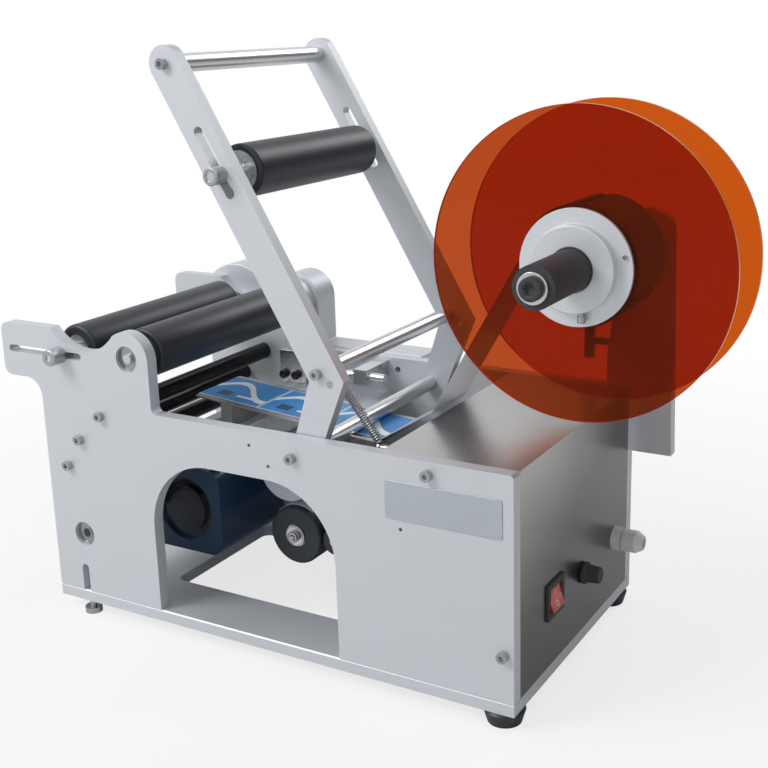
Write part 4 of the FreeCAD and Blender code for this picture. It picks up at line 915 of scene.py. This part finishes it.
@dataclass
class Fittings:
    """Bare name plate, side block and speed knob.

    Attributes:
        plate_low: Lower left corner of the name plate.
        plate_high: Its upper right corner.
        plate_thick: Its thickness.
        block_low: Lower left corner of the block inside the far plate.
        block_high: Its upper right corner.
        block_depth: How far it stands out of the plate.
        screw_first: First screw's distance from the block's lower left corner.
        screw_apart: Distance between the two screws.
        screw_head: Radius of a screw's head.
        screw_tall: Height of a screw's head.
        screw_socket: Radius of its hexagon socket.
        flutes: Grooves round the knob.
    """

    plate_low: tuple[float, float] = (342.0, 137.0)
    plate_high: tuple[float, float] = (436.5, 167.0)
    plate_thick: float = 0.7
    block_low: tuple[float, float] = (94.0, 152.2)
    block_high: tuple[float, float] = (124.0, 184.0)
    block_depth: float = 12.0
    screw_first: tuple[float, float] = (5.0, 8.0)
    screw_apart: float = 14.0
    screw_head: float = 4.25
    screw_tall: float = 4.5
    screw_socket: float = 2.2
    flutes: int = 18

    def build(self) -> None:
        """Make the plate, the block with its screws and the knob."""
        slab("name_plate", rounded(self.plate_low, self.plate_high, 2.0), -self.plate_thick, 0.0, PLATE,
             "frame", 0.15 * MM)
        wall = (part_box("far_side_plate")[0].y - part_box("base_plate")[0].y) / MM
        slab("side_block", rounded(self.block_low, self.block_high, 0.8), wall - self.block_depth, wall,
             FINISHES[Slot.TURNED], "frame", 0.4 * MM)
        for index in range(2):
            seat = spot(self.block_low[0] + self.screw_first[0] + self.screw_apart * index,
                        wall - self.block_depth, self.block_low[1] + self.screw_first[1])
            socket_screw(f"block_screw_{index + 1}", seat, self.screw_head, self.screw_tall,
                         self.screw_socket, BLACKENED, "frame")
        self.knob()

    def knob(self) -> None:
        """Make the fluted knob with its plain skirt."""
        low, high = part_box("speed_knob")
        centre = Vector((low.x, (low.y + high.y) / 2, (low.z + high.z) / 2))
        length, skirt = (high.x - low.x) / MM, (high.z - low.z) / 2 / MM
        knob = lathe("knob_grip", centre,
                     [(0.0, 0.02), (0.0, skirt), (3.0, skirt), (3.6, skirt - 1.6),
                      (length - 0.8, skirt - 2.4), (length, skirt - 3.2), (length, 0.02)],
                     FINISHES[Slot.BLACK_PLASTIC], "knob", Axis.X, 8 * self.flutes,
                     self.flutes)
        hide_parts("speed_knob")


@dataclass
class ReturnSpring:
    """Extension spring that stretches between the control box and the near arm.

    Attributes:
        coil: Mean radius of a turn.
        wire: Radius of the wire.
        turns: Number of turns.
        steps: Steps of one turn.
        sides: Sides of the wire.
    """

    coil: float = 3.2
    wire: float = 0.75
    turns: int = 24
    steps: int = 16
    sides: int = 6

    def build(self) -> None:
        """Wind the wire from corner to corner of the construction's spring; it is fixed in place and rides
        on neither body.
        """
        low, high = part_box("return_spring")
        inset = (self.coil + self.wire) * MM
        middle = (low.y + high.y) / 2
        top = Vector((low.x + inset, middle, high.z - inset))
        bottom = Vector((high.x - inset, middle, low.z + inset))
        way = bottom - top
        ahead = way.normalized()
        across = Vector(Axis.Y.value)
        side = ahead.cross(across)
        points, faces = [], []
        count = self.turns * self.steps
        for index in range(count + 1):
            angle = 2.0 * math.pi * index / self.steps
            out = across * math.cos(angle) + side * math.sin(angle)
            centre = top + way * (index / count) + out * self.coil * MM
            for turn in range(self.sides):
                around = 2.0 * math.pi * turn / self.sides
                points.append(centre + (out * math.cos(around) + ahead * math.sin(around)) * self.wire * MM)
        for index in range(count):
            for turn in range(self.sides):
                after = (turn + 1) % self.sides
                first, second = index * self.sides, (index + 1) * self.sides
                faces.append((first + turn, first + after, second + after, second + turn))
        faces.append(tuple(range(self.sides - 1, -1, -1)))
        faces.append(tuple(count * self.sides + turn for turn in range(self.sides)))
        spring = piece("spring_coil", points, faces, FINISHES[Slot.SCREW_STEEL], None,
                       0.0)
        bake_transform(spring)
        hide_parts("return_spring")


@dataclass
class BeltCover:
    """Sheet cover on the far side, with its hump over the adjusting nut.

    Attributes:
        depth: How far it stands out of the far plate.
        hump: Centre and radius of the round hump.
        lobe: Centre and radius of the lobe behind the driven roller.
        rail: Lower and upper height of the part behind the lug.
        rail_start: Where that part begins.
        start: Left side of the lower part.
        finish: Its right side.
        low: Its underside.
        top: Its upper side.
        gap: Room between the far plate and the cover.
        edge: Radius of its bent edges.
    """

    depth: float = 31.0
    hump: Point = (28.0, 217.0, 43.0)
    lobe: Point = (100.0, 230.0, 26.0)
    rail: tuple[float, float] = (206.0, 237.0)
    rail_start: float = -40.0
    start: float = 60.0
    finish: float = 240.0
    low: float = 28.0
    top: float = 187.5
    gap: float = 0.05
    edge: float = 1.2

    def arc(self, circle: Point, begin: float, end: float, steps: int = 20) -> list[tuple[float, float]]:
        """Return points of a circle from one angle to another, in degrees."""
        x, z, radius = circle
        angles = [math.radians(begin + (end - begin) * step / steps) for step in range(steps + 1)]
        return [(x + radius * math.cos(a), z + radius * math.sin(a)) for a in angles]

    def build(self) -> None:
        """Make the cover as one closed body."""
        wall = (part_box("far_side_plate")[1].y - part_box("base_plate")[0].y) / MM
        lift = math.degrees(math.asin((self.rail[1] - self.hump[1]) / self.hump[2]))
        meet = math.degrees(math.asin((self.rail[1] - self.lobe[1]) / self.lobe[2]))
        outline = [(self.start, self.low), (self.finish, self.low), (self.finish, self.top),
                   (self.lobe[0] + self.lobe[2], self.top)]
        outline += self.arc(self.lobe, 0.0, 180.0 - meet)
        outline += self.arc(self.hump, lift, 180.0 - lift)
        outline += [(self.rail_start, self.rail[1]), (self.rail_start, self.rail[0]),
                    (self.start, self.rail[0])]
        cover = slab("drive_cover", outline, wall + self.gap, wall + self.depth, FINISHES[Slot.ALUMINIUM],
                     "frame", self.edge * MM)
        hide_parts("belt_cover")


# --------------------------------------------------------------------- scene


def main() -> None:
    """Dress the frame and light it."""
    logging.basicConfig(level=logging.INFO, format="%(name)s: %(message)s")
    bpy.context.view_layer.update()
    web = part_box("label_web")
    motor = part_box("motor_body")
    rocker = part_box("switch_rocker")
    middle = [tuple((box[0] + box[1]) / 2) for box in (motor, rocker)]
    FINISHES[Slot.FILM] = LabelPrint("labels", (0.5, 0.55, 0.62), 0.35, grain=0.02, start=web[0].x,
                                     middle=(web[0].y + web[1].y) / 2, last=web[0].x + 190 * MM,
                                     pitch=64 * MM, ink=(0.03, 0.24, 0.6))
    FINISHES[Slot.MOTOR_PAINT] = MotorFace("enamel", (0.02, 0.05, 0.11), 0.22, 0.0, coat=0.6, grain=0.03,
                                           wear=0.05, centre=middle[0])
    FINISHES[Slot.RED_PLASTIC] = Rocker("red_rocker", (0.75, 0.05, 0.008), 0.2, 0.0, coat=0.4, grain=0.02,
                                        middle=middle[1])
    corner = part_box("control_box_cover")
    amber = FINISHES[Slot.AMBER]
    own = {
        "frame_tie_rods": BLACKENED,
        "takeup_spool": LINER,
        "core_hub": FINISHES[Slot.BLACK_PLASTIC],
        "plate_bearings": BEARING,
        "near_clamp_nut": KNURLED,
        "far_clamp_nut": KNURLED,
        "near_press_nut": KNURLED,
        "far_press_nut": KNURLED,
        "front_disc": replace(amber, name="amber_front", tint=(0.7, 0.27, 0.12)),
        # control_box_cover: painted shade darkens it toward +X, +Y and downwards
        "control_box_cover": PaintedShadePanel("box_cover", (0.6, 0.595, 0.59), 0.3, 1.0, grain=0.1, grain_scale=2200.0,
                                   wear=0.1, shade_fall=(3.0, 3.0, -5.0),
                                   start=3.0 * corner[1].x + 3.0 * corner[0].y - 5.0 * corner[1].z - 0.25,
                                   dark=0.3),
    }
    slots = {part["node"]: Slot(part["material_slot"]) for part in frame["record"]["subparts"]}
    for name, node in frame["nodes"].items():
        node.data.materials.clear()
        node.data.materials.append((own.get(name) or FINISHES[slots[name]]).material())
    for assembly in (
        RollerCover("driven_roller_rubber", "driven_roller"),
        RollerCover("adjustable_roller_rubber", "adjustable_roller"),
        TractionEnd(),
        ReelFront(),
        Fittings(),
        ReturnSpring(),
        BeltCover(),
    ):
        assembly.build()
    Studio().build()
    Viewpoint().build()


@dataclass(frozen=True)
class Viewpoint:
    """The camera, at a person's eye in front of the machine's right end.

    Attributes:
        place: Where it stands, in the row frame.
        yaw: Turn to the left, in degrees.
        pitch: Tilt down, in degrees.
        roll: Turn about the line of sight, in degrees.
        lens: Focal length, in millimetres.
        shift: Sideways and upward shift of the sensor.
    """

    place: Point = (0.50894, -0.84699, 0.49862)
    yaw: float = 30.79
    pitch: float = 14.66
    roll: float = -1.74
    lens: float = 57.24
    shift: tuple[float, float] = (0.0, -0.05)

    def build(self) -> bpy.types.Object:
        """Make the camera and give it to the scene."""
        data = bpy.data.cameras.new("view")
        data.lens = self.lens
        data.shift_x, data.shift_y = self.shift
        camera = bpy.data.objects.new("view", data)
        bpy.context.scene.collection.objects.link(camera)
        level = Matrix.Rotation(math.radians(self.yaw), 4, "Z")
        tilt = Matrix.Rotation(math.radians(90.0 - self.pitch), 4, "X")
        turn = Matrix.Rotation(math.radians(self.roll), 4, "Z")
        camera.matrix_world = Matrix.Translation(self.place) @ level @ tilt @ turn
        bpy.context.scene.camera = camera
        return camera


@dataclass(frozen=True)
class Lamp:
    """A soft area light that looks at the machine.

    Attributes:
        name: Its name.
        place: Where it hangs, in the row frame.
        size: Side of its square face, in metres.
        power: Watts.
        colour: Colour of its light.
    """

    name: str
    place: Point
    size: float
    power: float
    colour: Colour = (1.0, 1.0, 1.0)

    def build(self) -> bpy.types.Object:
        """Make the light."""
        data = bpy.data.lights.new(self.name, "AREA")
        data.size = self.size
        data.energy = self.power
        data.color = self.colour
        lamp = bpy.data.objects.new(self.name, data)
        lamp.location = self.place
        aim = Vector((0.0, 0.0, 0.2)) - Vector(self.place)
        lamp.rotation_euler = aim.to_track_quat("-Z", "Y").to_euler()
        bpy.context.scene.collection.objects.link(lamp)
        return lamp


@dataclass(frozen=True)
class Studio:
    """A white room with a pale floor, brighter at the left than at the right.

    Attributes:
        floor_size: Side of the floor, in metres.
        floor_colour: Its colour.
        bright: Strength of the room's bright side.
        dim: Strength of its dim side.
        fill: Share of the room's light that falls on matt surfaces.
        dim_side: Direction of the dim side.
        lamps: The lights.
    """

    floor_size: float = 40.0
    floor_colour: Colour = (0.86, 0.86, 0.86)
    bright: float = 0.95
    dim: float = 0.12
    fill: float = 0.5
    dim_side: Point = (0.75, 0.66, 0.0)
    lamps: tuple[Lamp, ...] = (
        Lamp("key", (-1.3, -1.5, 1.9), 1.1, 34.0),
        Lamp("back", (0.5, 1.9, 1.6), 0.9, 14.0),
    )

    def build(self) -> None:
        """Make the floor, the room and the lights."""
        half = self.floor_size / 2
        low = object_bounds()[0].z
        mesh = bpy.data.meshes.new("floor")
        corners = [(-half, -half, low), (half, -half, low), (half, half, low), (-half, half, low)]
        mesh.from_pydata(corners, [], [(0, 1, 2, 3)])
        floor = bpy.data.objects.new("floor", mesh)
        bpy.context.scene.collection.objects.link(floor)
        paint = bpy.data.materials.new("floor")
        paint.use_nodes = True
        graph = Graph(paint.node_tree)
        lit = graph.principled(Base_Color=self.floor_colour, Roughness=0.9)
        white = graph.make("ShaderNodeEmission", {}, {"Color": (1.0, 1.0, 1.0, 1.0), "Strength": 1.0})
        path = graph.make("ShaderNodeLightPath")
        seen = Signal(graph, path.outputs["Is Camera Ray"])
        away = graph.place().length().ramp(0.35, 1.1)
        share = seen * (away * 0.25 + 0.75)
        both = graph.make("ShaderNodeMixShader", {}, {0: share, 1: lit.outputs[0], 2: white.outputs[0]})
        graph.finish(both)
        mesh.materials.append(paint)
        floor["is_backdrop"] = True
        for lamp in self.lamps:
            lamp.build()
        self.room()

    def room(self) -> None:
        """Make the world: plain white where it is seen, a soft gradient where it lights."""
        world = bpy.data.worlds.new("room")
        bpy.context.scene.world = world
        world.use_nodes = True
        graph = Graph(world.node_tree)
        ray = Arrow(graph, graph.make("ShaderNodeTexCoord").outputs["Generated"])
        share = ray.dot(self.dim_side).ramp(0.1, 0.95)
        mirrored = Signal(graph, graph.make("ShaderNodeLightPath").outputs["Is Glossy Ray"])
        gradient = (1.0 - share) * (self.bright - self.dim) + self.dim
        light = gradient * (mirrored * (1.0 - self.fill) + self.fill)
        soft = graph.make("ShaderNodeBackground", {}, {"Color": (1.0, 1.0, 1.0, 1.0), "Strength": light})
        plain = graph.make("ShaderNodeBackground", {}, {"Color": (1.0, 1.0, 1.0, 1.0), "Strength": 1.0})
        path = graph.make("ShaderNodeLightPath")
        seen = Signal(graph, path.outputs["Is Camera Ray"]).greater_of(
            Signal(graph, path.outputs["Is Transmission Ray"])
        )
        both = graph.make("ShaderNodeMixShader", {}, {0: seen, 1: soft.outputs[0], 2: plain.outputs[0]})
        graph.finish(both, "ShaderNodeOutputWorld")
        bpy.context.scene.view_settings.view_transform = "Standard"


if __name__ == "__main__":
    main()
